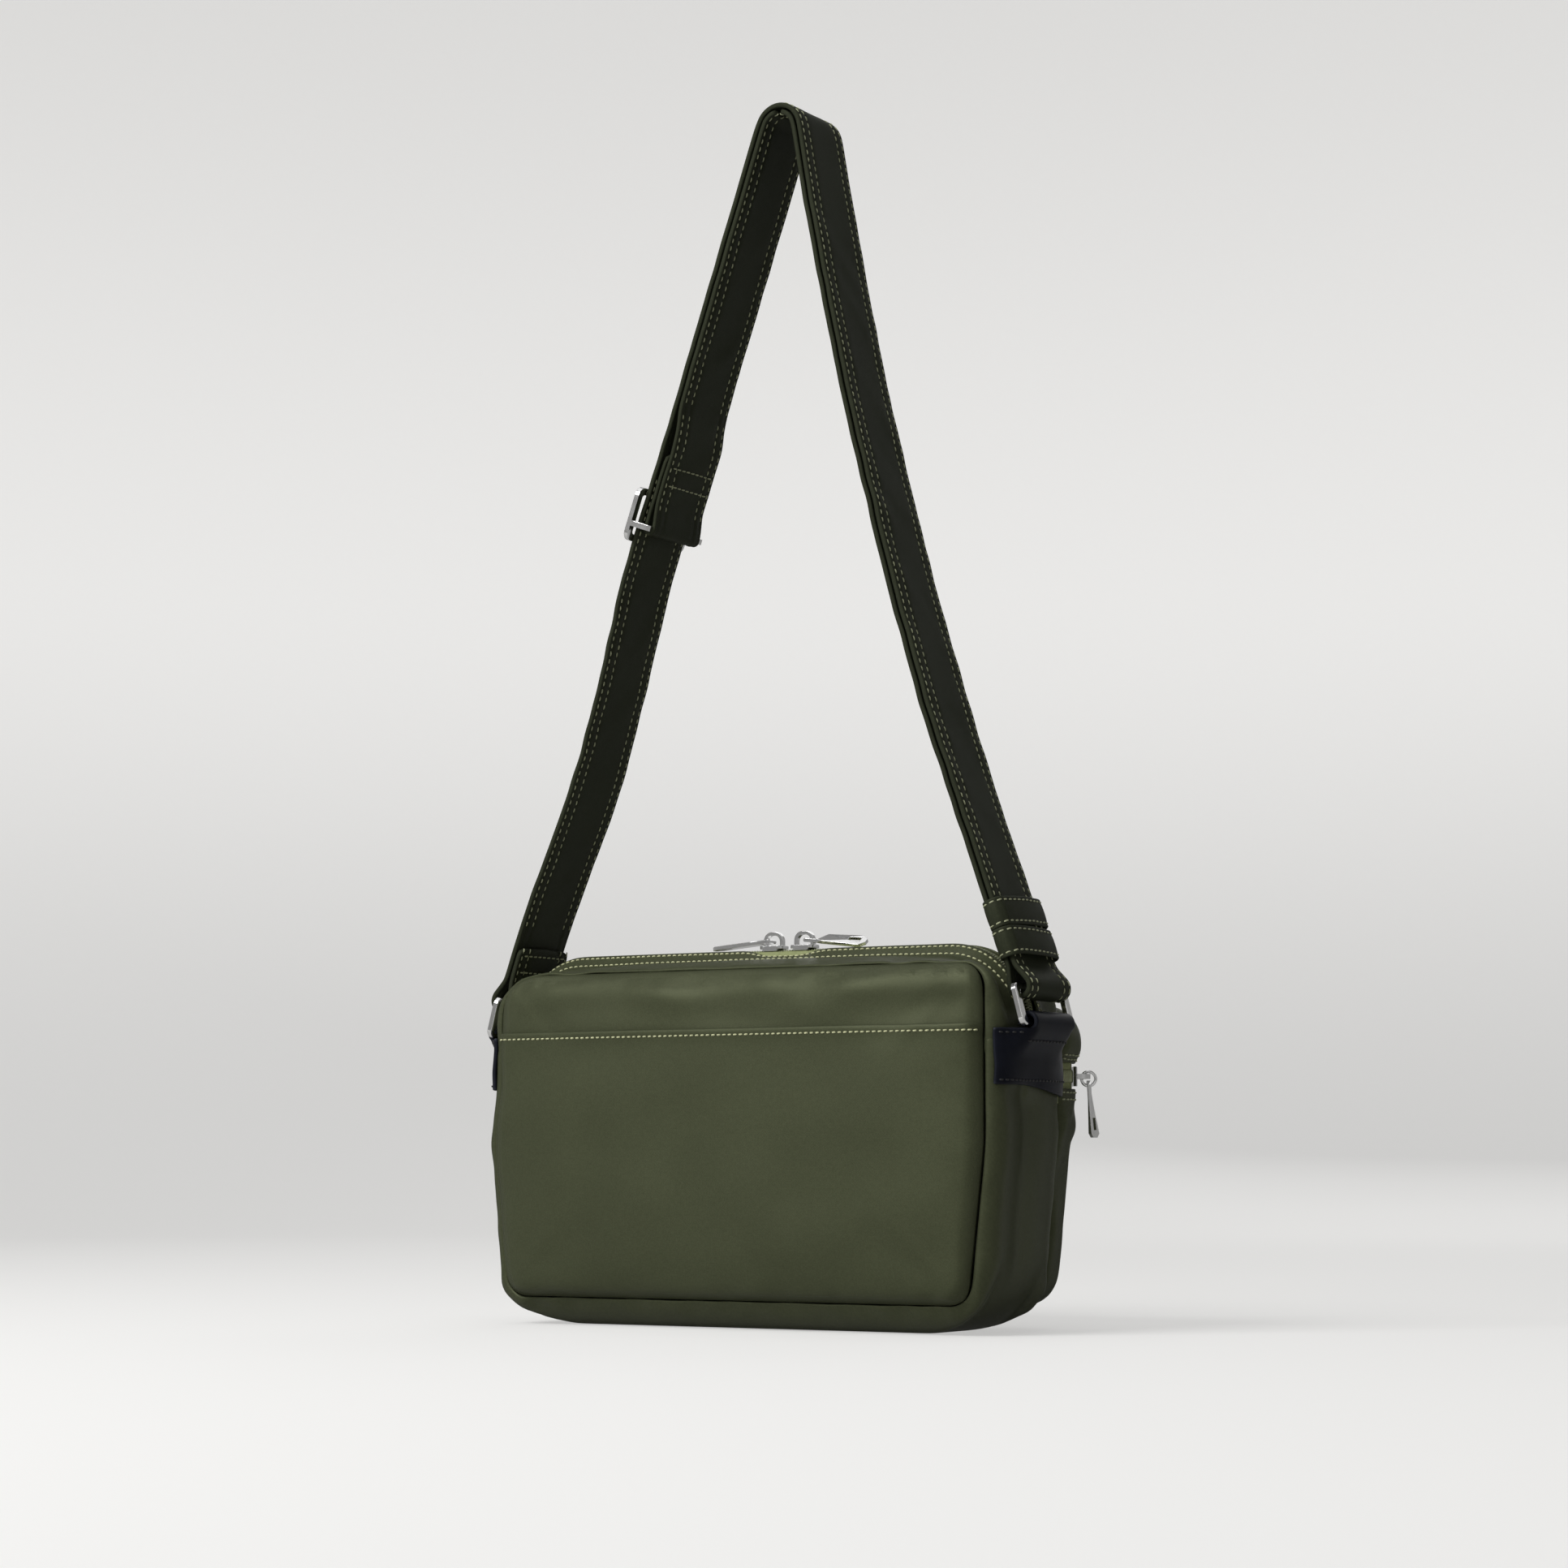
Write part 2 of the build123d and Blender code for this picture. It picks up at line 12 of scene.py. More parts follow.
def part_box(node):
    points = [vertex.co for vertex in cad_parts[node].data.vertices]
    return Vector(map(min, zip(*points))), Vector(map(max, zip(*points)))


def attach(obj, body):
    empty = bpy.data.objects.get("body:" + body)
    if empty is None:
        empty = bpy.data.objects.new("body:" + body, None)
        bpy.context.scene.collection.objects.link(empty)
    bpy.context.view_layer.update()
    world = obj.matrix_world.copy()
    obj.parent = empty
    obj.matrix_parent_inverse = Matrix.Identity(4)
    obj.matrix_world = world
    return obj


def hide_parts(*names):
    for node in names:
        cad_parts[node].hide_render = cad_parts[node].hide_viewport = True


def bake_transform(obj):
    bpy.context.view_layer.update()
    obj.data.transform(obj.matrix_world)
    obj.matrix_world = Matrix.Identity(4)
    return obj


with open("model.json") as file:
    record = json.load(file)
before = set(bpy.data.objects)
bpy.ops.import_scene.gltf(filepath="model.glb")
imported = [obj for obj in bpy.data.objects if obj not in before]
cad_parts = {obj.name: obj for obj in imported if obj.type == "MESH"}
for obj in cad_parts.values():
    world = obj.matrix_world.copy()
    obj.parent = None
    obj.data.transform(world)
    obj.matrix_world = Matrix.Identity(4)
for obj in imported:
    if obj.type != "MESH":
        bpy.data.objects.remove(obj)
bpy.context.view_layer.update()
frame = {"nodes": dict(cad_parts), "record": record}
MM = 0.001               # lengths below are in millimetres unless a comment says otherwise


# ------------------------------------------------------------------ small tools
def box_mm(node):
    """Lowest and highest corner of a CAD node."""
    low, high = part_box(node)
    return np.array(low) / MM, np.array(high) / MM


def smoothstep(low, high, value):
    t = np.clip((np.asarray(value, float) - low) / (high - low), 0, 1)
    return t * t * (3 - 2 * t)


def hump(value, middle, width):
    """A smooth rise to 1 at middle and back to 0."""
    return np.exp(-((value - middle) / width) ** 2)


def noise_at(x, y=0.0, z=0.0):
    """Smooth noise, -1 to 1, at each point of the given coordinates."""
    x, y, z = np.broadcast_arrays(np.asarray(x, float), y, z)
    flat = [noise.noise(Vector(p)) for p in zip(x.ravel(), y.ravel(), z.ravel())]
    return np.array(flat).reshape(x.shape)


def unit(vectors):
    """Vectors scaled to length 1."""
    vectors = np.asarray(vectors, float)
    return vectors / np.linalg.norm(vectors, axis=-1, keepdims=True)


def distance_along(points):
    """How far along a polyline each of its points lies."""
    return np.concatenate([[0], np.cumsum(np.linalg.norm(np.diff(points, axis=0), axis=1))])


def interpolate(target, along, points):
    return np.stack([np.interp(target, along, points[:, k]) for k in range(points.shape[1])], axis=-1)


def resample(points, count, closed=False):
    """count points evenly spaced along a polyline (the closed end isn't repeated)."""
    points = np.asarray(points, float)
    if closed:
        points = np.vstack([points, points[:1]])
    along = distance_along(points)
    target = np.linspace(0, along[-1], count + 1 if closed else count)
    return interpolate(target[:-1] if closed else target, along, points)


def nearest_distance(points, targets, chunk=500):
    """Distance of each point to the nearest of the targets."""
    near = np.zeros(len(points))
    for k in range(0, len(points), chunk):
        part = points[k:k + chunk]
        near[k:k + chunk] = np.sqrt(((part[:, None] - targets[None]) ** 2).sum(2)).min(1)
    return near


def grid_faces(rows, columns, closed=True, start=0):
    """Quads between neighbouring rows of points; closed joins the last column to the first."""
    faces = []
    for low in range(start, start + (rows - 1) * columns, columns):
        for j in range(columns if closed else columns - 1):
            k = (j + 1) % columns
            faces.append((low + j, low + k, low + columns + k, low + columns + j))
    return faces


def tube(rings, start=0):
    """Points and faces of a capped tube; rings is an array (rows, columns, 3)."""
    count, around = rings.shape[:2]
    first = range(start, start + around)
    last = range(start + (count - 1) * around, start + count * around)
    return rings.reshape(-1, 3), grid_faces(count, around, start=start) + [tuple(first)[::-1], tuple(last)]


def link(obj):
    bpy.context.scene.collection.objects.link(obj)
    return obj


def make_object(name, points, faces, uv=None):
    """A smooth-shaded mesh object; uv is one pair per point."""
    mesh = bpy.data.meshes.new(name)
    mesh.from_pydata([tuple(p) for p in np.asarray(points) * MM], [], [tuple(f) for f in faces])
    if uv is not None:
        layer = mesh.uv_layers.new(name="UVMap")
        loops = np.zeros(len(mesh.loops), int)
        mesh.loops.foreach_get("vertex_index", loops)
        layer.data.foreach_set("uv", np.asarray(uv, float)[loops].ravel())
    mesh.validate()
    mesh.shade_smooth()
    return link(bpy.data.objects.new(name, mesh))


def copy_of(source, name):
    """A new object with its own copy of another object's mesh."""
    return link(bpy.data.objects.new(name, source.data.copy()))


@contextmanager
def edited(obj):
    """The object's mesh, open for editing."""
    mesh = bmesh.new()
    mesh.from_mesh(obj.data)
    yield mesh
    mesh.to_mesh(obj.data)
    mesh.free()


def face_outwards(obj):
    with edited(obj) as mesh:
        bmesh.ops.recalc_face_normals(mesh, faces=mesh.faces)


def face_away(obj, centre=(0.0, 0.0, 0.085)):
    """Turns an open sheet's faces so that they look away from a place inside the bag, in metres."""
    with edited(obj) as mesh:
        bmesh.ops.recalc_face_normals(mesh, faces=mesh.faces)
        looking = sum(f.normal.dot(f.calc_center_median() - Vector(centre)) * f.calc_area() for f in mesh.faces)
        if looking < 0:
            bmesh.ops.reverse_faces(mesh, faces=mesh.faces)


def cut_at(mesh, z, up=1, **clear):
    """Cuts an open mesh at a height; clear says which side goes."""
    bmesh.ops.bisect_plane(mesh, geom=mesh.verts[:] + mesh.edges[:] + mesh.faces[:], dist=1e-6,
                           plane_co=(0, 0, z * MM), plane_no=(0, 0, up), **clear)


def bake_modifiers(obj, thickness=None, offset=0.0, subdivide=0):
    """Thickens and subdivides the object, and replaces its mesh by the result."""
    if thickness:
        modifier = obj.modifiers.new("Solidify", "SOLIDIFY")
        modifier.thickness, modifier.offset = thickness * MM, offset
    if subdivide:
        modifier = obj.modifiers.new("Subsurf", "SUBSURF")
        modifier.levels = modifier.render_levels = subdivide
    evaluated = obj.evaluated_get(bpy.context.evaluated_depsgraph_get())
    mesh = bpy.data.meshes.new_from_object(evaluated)
    obj.modifiers.clear()
    obj.data = mesh
    obj.data.shade_smooth()


def surface_of(obj):
    """A search tree of an object's mesh, for laying stitches on it."""
    mesh = bmesh.new()
    mesh.from_mesh(obj.data)
    tree = BVHTree.FromBMesh(mesh)
    mesh.free()
    return tree


def lay_on(tree, starts, direction):
    """Points and normals where rays from starts meet a surface; rays that miss are dropped."""
    hits = [tree.ray_cast(Vector(start) * MM, Vector(direction))[:2] for start in starts]
    hits = [hit for hit in hits if hit[0] is not None]
    return np.array([point for point, _ in hits]) / MM, np.array([normal for _, normal in hits])


def nearest_on(tree, points):
    """The nearest places on a surface, and the normals there."""
    found = [tree.find_nearest(Vector(p) * MM) for p in points]
    return np.array([f[0] for f in found]) / MM, np.array([f[1] for f in found])


def settle(tree, points, facing, lift=1.5):
    """Moves points from just outside a finished surface to their nearest places on it."""
    return nearest_on(tree, points + facing * lift)


# ------------------------------------------------------------------ materials
def rgb(r, g, b):
    return (r, g, b, 1.0)


def shaded(colour, factor):
    return rgb(*[c * factor for c in colour])


class Graph:
    """A new material with a principled shader, and short forms for building its nodes."""

    def __init__(self, name):
        self.material = bpy.data.materials.new(name)
        self.material.use_nodes = True
        self.tree = self.material.node_tree
        self.tree.nodes.clear()
        out = self.tree.nodes.new("ShaderNodeOutputMaterial")
        self.shader = self.tree.nodes.new("ShaderNodeBsdfPrincipled")
        self.tree.links.new(self.shader.outputs[0], out.inputs[0])
        self.place = self.node("TexCoord").outputs["Object"]

    def node(self, kind, inputs=None, **settings):
        node = self.tree.nodes.new("ShaderNode" + kind)
        for key, value in settings.items():
            setattr(node, key, value)
        for key, value in (inputs or {}).items():
            self.feed(node.inputs[key], value)
        return node

    def feed(self, socket, value):
        if isinstance(value, bpy.types.NodeSocket):
            self.tree.links.new(value, socket)
        else:
            socket.default_value = value

    def set(self, **inputs):
        """Feeds the shader's inputs; underscores stand for spaces."""
        for key, value in inputs.items():
            self.feed(self.shader.inputs[key.replace("_", " ")], value)

    def math(self, operation, a, b=0.0):
        return self.node("Math", {0: a, 1: b}, operation=operation).outputs[0]

    def around(self, middle, value, spread):
        """middle plus or minus half the spread, as value runs from 0 to 1."""
        return self.math("ADD", middle - spread / 2, self.math("MULTIPLY", value, spread))

    def mix(self, factor, a, b):
        return self.node("Mix", {0: factor, 6: a, 7: b}, data_type="RGBA").outputs[2]

    def ramp(self, value, low, high, to_low=0.0, to_high=1.0):
        inputs = {0: value, 1: low, 2: high, 3: to_low, 4: to_high}
        return self.node("MapRange", inputs, interpolation_type="SMOOTHSTEP").outputs[0]

    def noise(self, vector, scale, detail=2.0, roughness=0.5):
        inputs = {"Vector": vector, "Scale": scale, "Detail": detail, "Roughness": roughness}
        return self.node("TexNoise", inputs).outputs[0]

    def mapped(self, vector, scale=(1, 1, 1), turn=0.0):
        inputs = {"Vector": vector, "Rotation": (0, 0, turn), "Scale": scale}
        return self.node("Mapping", inputs).outputs[0]

    def bump(self, height, strength, distance, **normal):
        """A surface normal; distance is in metres."""
        inputs = {"Height": height, "Strength": strength, "Distance": distance, **normal}
        return self.node("Bump", inputs).outputs[0]


def cloth_material(name, colour, twill=0.5, weave_mm=0.42, roughness=0.46, sheen=0.12, bump=0.45,
                   specular=0.16, mottle=0.05, use_uv=True):
    """Woven fabric: twill lines in UV millimetres, uneven gloss, slight colour drift."""
    g = Graph(name)
    if use_uv:
        cloth = g.node("UVMap", uv_map="UVMap").outputs[0]
    else:
        cloth = g.mapped(g.place, scale=(1000, 1000, 1000))
    fine = g.noise(cloth, 0.9, 4.0, 0.65)
    turned = g.mapped(cloth, turn=math.radians(58))
    lines = g.node("TexWave", {"Vector": turned, "Scale": 0.314 / weave_mm, "Distortion": 0.6, "Detail": 1.0,
                               "Detail Scale": 0.5}).outputs[1]
    yarns = g.node("TexWave", {"Vector": cloth, "Scale": 0.314 / (weave_mm * 0.6), "Distortion": 0.3},
                   bands_direction="Y").outputs[1]
    pattern = g.math("ADD", g.math("MULTIPLY", lines, twill), g.math("MULTIPLY", yarns, 1 - twill))
    drift = g.ramp(g.noise(g.place, 22.0, 3.0), 0.35, 0.65)
    base = g.mix(drift, shaded(colour, 1 - mottle), shaded(colour, 1 + mottle))
    groove = g.ramp(pattern, 0.0, 0.45, 0.82, 1.0)
    fleck = g.math("ADD", g.ramp(g.noise(cloth, 1.3, 2.0), 0.3, 0.7, 0.42, 0.58),
                   g.ramp(g.noise(cloth, 0.45, 3.0), 0.3, 0.7, 0.46, 0.54))
    facing = g.node("LayerWeight", {"Blend": 0.5}).outputs["Facing"]
    height = g.math("ADD", g.math("MULTIPLY", pattern, 0.7), g.math("MULTIPLY", fine, 0.6))
    g.set(Base_Color=g.node("HueSaturation", {"Color": base, "Value": g.math("MULTIPLY", groove, fleck)}).outputs[0],
          Roughness=g.around(roughness, fine, 0.14), Specular_IOR_Level=g.ramp(facing, 0.3, 0.7, specular, 0.02),
          Specular_Tint=rgb(0.85, 0.92, 0.55), Sheen_Weight=sheen, Sheen_Roughness=0.4,
          Sheen_Tint=rgb(0.70, 0.75, 0.45), Normal=g.bump(height, bump, 0.0001))
    return g.material


def leather_material(name, colour):
    """Smooth coated leather: fine pebble, soft blotches, and a painted highlight that lightens the convex edges."""
    g = Graph(name)
    pebble = g.node("TexVoronoi", {"Vector": g.place, "Scale": 1500.0}, feature="DISTANCE_TO_EDGE").outputs[0]
    blotch = g.noise(g.place, 60.0, 4.0)
    base = g.mix(g.ramp(blotch, 0.3, 0.7), shaded(colour, 0.8), shaded(colour, 1.35))
    # painted highlight: convex edges, picked by pointiness, are mixed towards a lighter grey-blue
    painted_edge_highlight = g.ramp(g.node("NewGeometry").outputs["Pointiness"], 0.53, 0.62)
    height = g.math("ADD", g.ramp(pebble, 0.0, 0.12), g.math("MULTIPLY", g.noise(g.place, 500.0, 3.0), 0.8))
    g.set(Base_Color=g.mix(painted_edge_highlight, base, rgb(0.05, 0.055, 0.07)), Specular_IOR_Level=0.08,
          Roughness=g.around(0.42, blotch, 0.2), Normal=g.bump(height, 0.12, 0.0002))
    return g.material


def metal_material(name):
    """Polished silver plating with rounded edges, faint brushing and a few hairlines."""
    g = Graph(name)
    cloud = g.noise(g.place, 180.0, 4.0)
    hairline = g.noise(g.mapped(g.place, scale=(300, 300, 4000)), 1.0, 2.0)
    rounded = g.node("Bevel", {"Radius": 0.0004}, samples=4).outputs[0]
    g.set(Metallic=1.0, Base_Color=g.mix(cloud, rgb(0.72, 0.72, 0.72), rgb(0.86, 0.86, 0.85)),
          Roughness=g.around(0.13, cloud, 0.12), Normal=g.bump(hairline, 0.03, 0.0001, Normal=rounded))
    return g.material


def plain_material(name, colour, roughness=0.5, grain=900.0, bump=0.2, mottle=0.15):
    """Thread, moulded plastic, foam or card: fine grain and a little colour drift."""
    g = Graph(name)
    tone = g.ramp(g.noise(g.place, grain * 0.2, 3.0), 0.3, 0.7)
    speck = g.noise(g.place, grain, 3.0)
    g.set(Base_Color=g.mix(tone, shaded(colour, 1 - mottle), shaded(colour, 1 + mottle)),
          Roughness=g.around(roughness, speck, 0.2), Normal=g.bump(speck, bump, 0.0002))
    return g.material


NYLON = cloth_material("nylon_twill", (0.062, 0.069, 0.038), roughness=0.39, sheen=0.04, specular=0.30)
# painted shade: the strap and its keepers are the same nylon as the bag, with the colour darkened to about half
SHADED_STRAP_NYLON = cloth_material("strap_nylon_painted_shade", (0.031, 0.035, 0.022), roughness=0.48, sheen=0.0, specular=0.10)
LINING = cloth_material("lining_weave", (0.075, 0.080, 0.060), twill=0.2, use_uv=False)
BINDING = cloth_material("binding_grosgrain", (0.05, 0.055, 0.035), twill=0.0, weave_mm=0.9, use_uv=False)
TAPE = cloth_material("zip_tape_weave", (0.32, 0.35, 0.17), twill=0.1, weave_mm=0.7, use_uv=False)
LEATHER = leather_material("navy_leather", (0.0072, 0.0082, 0.0135))
METAL = metal_material("silver_plate")
COIL = plain_material("zip_coil_nylon", (0.40, 0.43, 0.24), roughness=0.35)
THREAD = plain_material("pale_thread", (0.66, 0.67, 0.40), roughness=0.6, grain=2500.0)
OLIVE_THREAD = plain_material("olive_thread", (0.42, 0.44, 0.27), roughness=0.6, grain=2500.0)
DARK_THREAD = plain_material("dark_thread", (0.0035, 0.0035, 0.0045), roughness=0.55, grain=2500.0)
FOAM = plain_material("foam_sheet", (0.30, 0.30, 0.28), roughness=0.9, grain=1500.0, bump=0.5)
CARD = plain_material("base_sheet", (0.03, 0.03, 0.03), roughness=0.5)

CAD_MATERIALS = {
    "hardware": METAL, "zip_tape": TAPE, "zip_coil": COIL, "lining_fabric": LINING, "binding_tape": BINDING,
    "padding_foam": FOAM, "base_card": CARD, "tab_leather": LEATHER, "shell_nylon": LINING, "strap_fabric": LINING,
}
node_slots = {s["node"]: s["material_slot"] for s in frame["record"]["subparts"]}
for node_name, node_object in frame["nodes"].items():
    node_object.data.materials.clear()
    node_object.data.materials.append(CAD_MATERIALS[node_slots[node_name]])


def finish_piece(obj, body, material, replaces=()):
    """Gives a piece its material and lets it ride on a body; given a blend between two bodies instead, it only bakes
    the piece's placement into its mesh.
    """
    obj.data.materials.clear()
    obj.data.materials.append(material)
    if replaces:
        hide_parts(*replaces)
    if isinstance(body, str):
        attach(obj, body)
    else:
        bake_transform(obj)


# ------------------------------------------------------------------ stitches
class Stitches:
    """Collects the stitches that ride on one body, and makes them one mesh of small sunk thread loops."""

    SIDES = 6
    STATIONS = ((-1.0, 0.35, -0.32), (-0.72, 0.85, -0.05), (0.0, 1.0, 0.06), (0.72, 0.85, -0.05), (1.0, 0.35, -0.32))
    SLANT = 0.07         # radians, between a stitch and its row
    LIFT = 0.14          # height of a thread's middle over the fabric
    FLATNESS = 0.42      # the thread's half height, for a width of 1

    def __init__(self, name, body, slot, material=THREAD, width=1.0, pitch=2.8):
        self.name, self.body, self.slot, self.material = name, body, slot, material
        self.width, self.pitch, self.half = width, pitch, (0.25 + 0.62 * pitch) / 2
        self.places = []

    def row(self, path, normals):
        """Stitches along a polyline, with the surface normal at each point."""
        path, normals = np.asarray(path, float), np.asarray(normals, float)
        along = distance_along(path)
        count = max(1, int(along[-1] / self.pitch))
        for centre in (np.arange(count) + 0.5) * along[-1] / count:
            behind, place, ahead = (interpolate(centre + d, along, path) for d in (-0.5, 0, 0.5))
            if np.linalg.norm(ahead - behind) < 1e-6:
                continue
            tangent = unit(ahead - behind)
            normal = interpolate(centre, along, normals)
            normal = unit(normal - tangent * (normal @ tangent))
            turned = tangent * math.cos(self.SLANT) + np.cross(normal, tangent) * math.sin(self.SLANT)
            self.places.append((place, turned, normal, np.cross(normal, turned)))

    def build(self):
        points, faces = [], []
        angles = 2 * np.pi * (np.arange(self.SIDES)[:, None] + 0.5) / self.SIDES
        for centre, tangent, normal, side in self.places:
            rings = [centre + tangent * along * self.half + side * np.cos(angles) * radius * self.width / 2
                     + normal * (lift + self.LIFT + np.sin(angles) * radius * self.width * self.FLATNESS)
                     for along, radius, lift in self.STATIONS]
            more_points, more_faces = tube(np.array(rings), start=len(points))
            points.extend(more_points)
            faces.extend(more_faces)
        obj = make_object(self.name, points, faces)
        face_outwards(obj)
        finish_piece(obj, self.body, self.material)


# ------------------------------------------------------------------ rounded outlines
LONG = 64        # points along the top and the bottom of an outline
SHORT = 38       # points along each end
AROUND = 2 * (LONG + SHORT)
SIDE_RADIUS = 60.0       # of the slight bend in each end
ARC_STEPS = 24


def outline_points(half_width, bottom, top, top_radius, bottom_radius, far_radius=None):
    """A rounded, tapered outline in x and z, from the middle of the top +X corner, over the top to -X."""
    corners = np.array([(half_width, top), (-half_width, top), (-half_width, TAPER_HEIGHT),
                        (-half_width + TAPER, bottom), (half_width - TAPER, bottom), (half_width, TAPER_HEIGHT)])
    radii = [top_radius, far_radius or top_radius, SIDE_RADIUS, bottom_radius, bottom_radius, SIDE_RADIUS]
    points = []
    for k, (here, radius) in enumerate(zip(corners, radii)):
        to_last, to_next = unit(corners[k - 1] - here), unit(corners[(k + 1) % 6] - here)
        half = math.acos(np.clip(to_last @ to_next, -1, 1)) / 2
        centre = here + unit(to_last + to_next) * radius / math.sin(half)
        start = here + to_last * radius / math.tan(half) - centre
        end = here + to_next * radius / math.tan(half) - centre
        first = math.atan2(start[1], start[0])
        turn = (math.atan2(end[1], end[0]) - first) % (2 * math.pi)
        for a in first + turn * np.arange(ARC_STEPS + 1) / ARC_STEPS:
            points.append(centre + radius * np.array([math.cos(a), math.sin(a)]))
    middles = [k * (ARC_STEPS + 1) + ARC_STEPS // 2 for k in (0, 1, 3, 4)] + [len(points) + ARC_STEPS // 2]
    points = np.array(points + points[:ARC_STEPS])
    return np.vstack([resample(points[a:b + 1], count + 1)[:-1]
                      for a, b, count in zip(middles, middles[1:], (LONG, SHORT, LONG, SHORT))])


def ring_place(i, j):
    """The ring's point at the edge of a patch's grid, or None inside."""
    if j == 0:
        return i % AROUND
    if j == SHORT:
        return (2 * LONG + SHORT - i) % AROUND
    if i == LONG:
        return LONG + j
    return (AROUND - j) % AROUND if i == 0 else None


def patch_inside(ring):
    """Fills a ring of AROUND points with a grid: returns an array (LONG + 1, SHORT + 1, 3)."""
    u = np.linspace(0, 1, LONG + 1)[:, None, None]
    v = np.linspace(0, 1, SHORT + 1)[None, :, None]
    over, under = (ring[[ring_place(i, j) for i in range(LONG + 1)]][:, None] for j in (0, SHORT))
    right, left = (ring[[ring_place(i, j) for j in range(SHORT + 1)]][None] for i in (0, LONG))
    flat = ((1 - u) * (1 - v) * over[0] + (1 - u) * v * under[0] + u * (1 - v) * over[-1] + u * v * under[-1])
    return (1 - v) * over + v * under + (1 - u) * right + u * left - flat


class SoftBox:
    """A closed fabric form: rings across its depth, with a padded patch over the first and the last ring."""

    CLOTH = {"quality": 6, "mass": 0.25, "tension_stiffness": 25, "compression_stiffness": 25,
             "shear_stiffness": 10, "bending_stiffness": 0.6, "vertex_group_mass": "pin", "use_pressure": True}
    FRAMES = 20

    def __init__(self, rings, first_pad, last_pad):
        self.count = len(rings)
        self.faces = grid_faces(self.count, AROUND)
        self.part = ["wall"] * len(self.faces)
        self.points = np.vstack(rings)
        for label, end, pad in (("first", 0, first_pad), ("last", self.count - 1, last_pad)):
            grid = patch_inside(rings[end])
            edge = resample(rings[end][:, [0, 2]], 4 * AROUND, closed=True)
            grid[..., 1] += pad(nearest_distance(grid.reshape(-1, 3)[:, [0, 2]], edge)).reshape(grid.shape[:-1])
            index = np.zeros(grid.shape[:-1], int)
            extra = []
            for i, j in np.ndindex(index.shape):
                on_ring = ring_place(i, j)
                if on_ring is None:
                    index[i, j] = len(self.points) + len(extra)
                    extra.append(grid[i, j])
                else:
                    index[i, j] = end * AROUND + on_ring
            self.points = np.vstack([self.points, extra])
            for i, j in np.ndindex(LONG, SHORT):
                self.faces.append((index[i, j], index[i + 1, j], index[i + 1, j + 1], index[i, j + 1]))
                self.part.append(label)
        self.part = np.array(self.part)
        self.on_wall = np.arange(len(self.points)) < self.count * AROUND

    def ring(self, number):
        return self.points[number * AROUND:(number + 1) * AROUND]

    def uv(self, arc):
        """Across and up on the two patches, round and across on the wall."""
        uv = self.points[:, [0, 2]]
        uv[self.on_wall] = np.column_stack([np.tile(arc, self.count), self.points[self.on_wall, 1]])
        return uv

    def normals(self):
        """Outward unit normals of all points."""
        corners = np.array(self.faces)
        a, b, c, d = (self.points[corners[:, k]] for k in range(4))
        face = np.cross(c - a, d - b)
        middle = a - self.points.mean(0)
        for label in ("wall", "first", "last"):
            pick = self.part == label
            if (face[pick] * middle[pick]).sum() < 0:
                face[pick] *= -1
        out = np.zeros_like(self.points)
        for k in range(4):
            np.add.at(out, corners[:, k], face)
        return out / np.maximum(np.linalg.norm(out, axis=1), 1e-9)[:, None]

    def swell(self, pins, pressure, cap, slack=0.0):
        """Inflates the form with a cloth simulation; pins is each point's hold, 0 to 1."""
        obj = make_object("swell", self.points, self.faces)
        face_outwards(obj)
        group = obj.vertex_groups.new(name="pin")
        for k, weight in enumerate(pins):
            if weight > 0.001:
                group.add([k], float(weight), "REPLACE")
        cloth = obj.modifiers.new("Cloth", "CLOTH")
        for key, value in self.CLOTH.items():
            setattr(cloth.settings, key, value)
        cloth.settings.uniform_pressure_force = pressure
        cloth.settings.shrink_min = -slack
        cloth.settings.effector_weights.gravity = 0
        cloth.collision_settings.use_collision = False
        cloth.point_cache.frame_start = 1
        cloth.point_cache.frame_end = self.FRAMES
        scene = bpy.context.scene
        for number in range(1, self.FRAMES + 1):
            scene.frame_set(number)
        evaluated = obj.evaluated_get(bpy.context.evaluated_depsgraph_get())
        moved = np.zeros(len(self.points) * 3)
        evaluated.data.vertices.foreach_get("co", moved)
        delta = moved.reshape(-1, 3) / MM - self.points
        length = np.linalg.norm(delta, axis=1)
        self.points += delta * np.minimum(1, cap / np.maximum(length, 1e-9))[:, None]
        bpy.data.objects.remove(obj)
        scene.frame_set(1)

    def at_row(self, values, row):
        """Per-point values round the wall at a fractional ring number."""
        low = min(int(row), self.count - 2)
        share = row - low
        first, second = (values[k * AROUND:(k + 1) * AROUND] for k in (low, low + 1))
        return first * (1 - share) + second * share

    def piece(self, name, keep, uv):
        """A mesh of the faces that keep picks."""
        chosen = [f for f, k in zip(self.faces, keep) if k]
        used = sorted({v for f in chosen for v in f})
        renumber = {v: k for k, v in enumerate(used)}
        faces = [tuple(renumber[v] for v in f) for f in chosen]
        return make_object(name, self.points[used], faces, uv=uv[used])


# ------------------------------------------------------------------ the bag's shell
panel_low, panel_high = box_mm("back_panel")
gusset_high = box_mm("main_gusset")[1]
band_low, band_high = box_mm("top_band_rear")
SEAM_X = panel_high[0] + 0.2
SEAM_Y = panel_low[1] - 0.25
SEAM_FOOT = panel_low[2] - 0.2
SEAM_TOP = panel_high[2] + 0.2
END_BULGE = gusset_high[0] - SEAM_X
ZIP_EDGE = band_low[1]                 # half the gap between the two bands
ZIP_TOP = band_high[2]
ZIP_PEAK = 4.5                         # the last rise of the bands towards the zip
BAND_END = band_low[2]                 # bands and gusset meet here, under the leather
TAPER = 8.0
TAPER_HEIGHT = 80.0
TOP_RADIUS = 30.0
FOOT_RADIUS = 34.0
FLAT_HALF = 18.0                       # half the depth of the flat foot
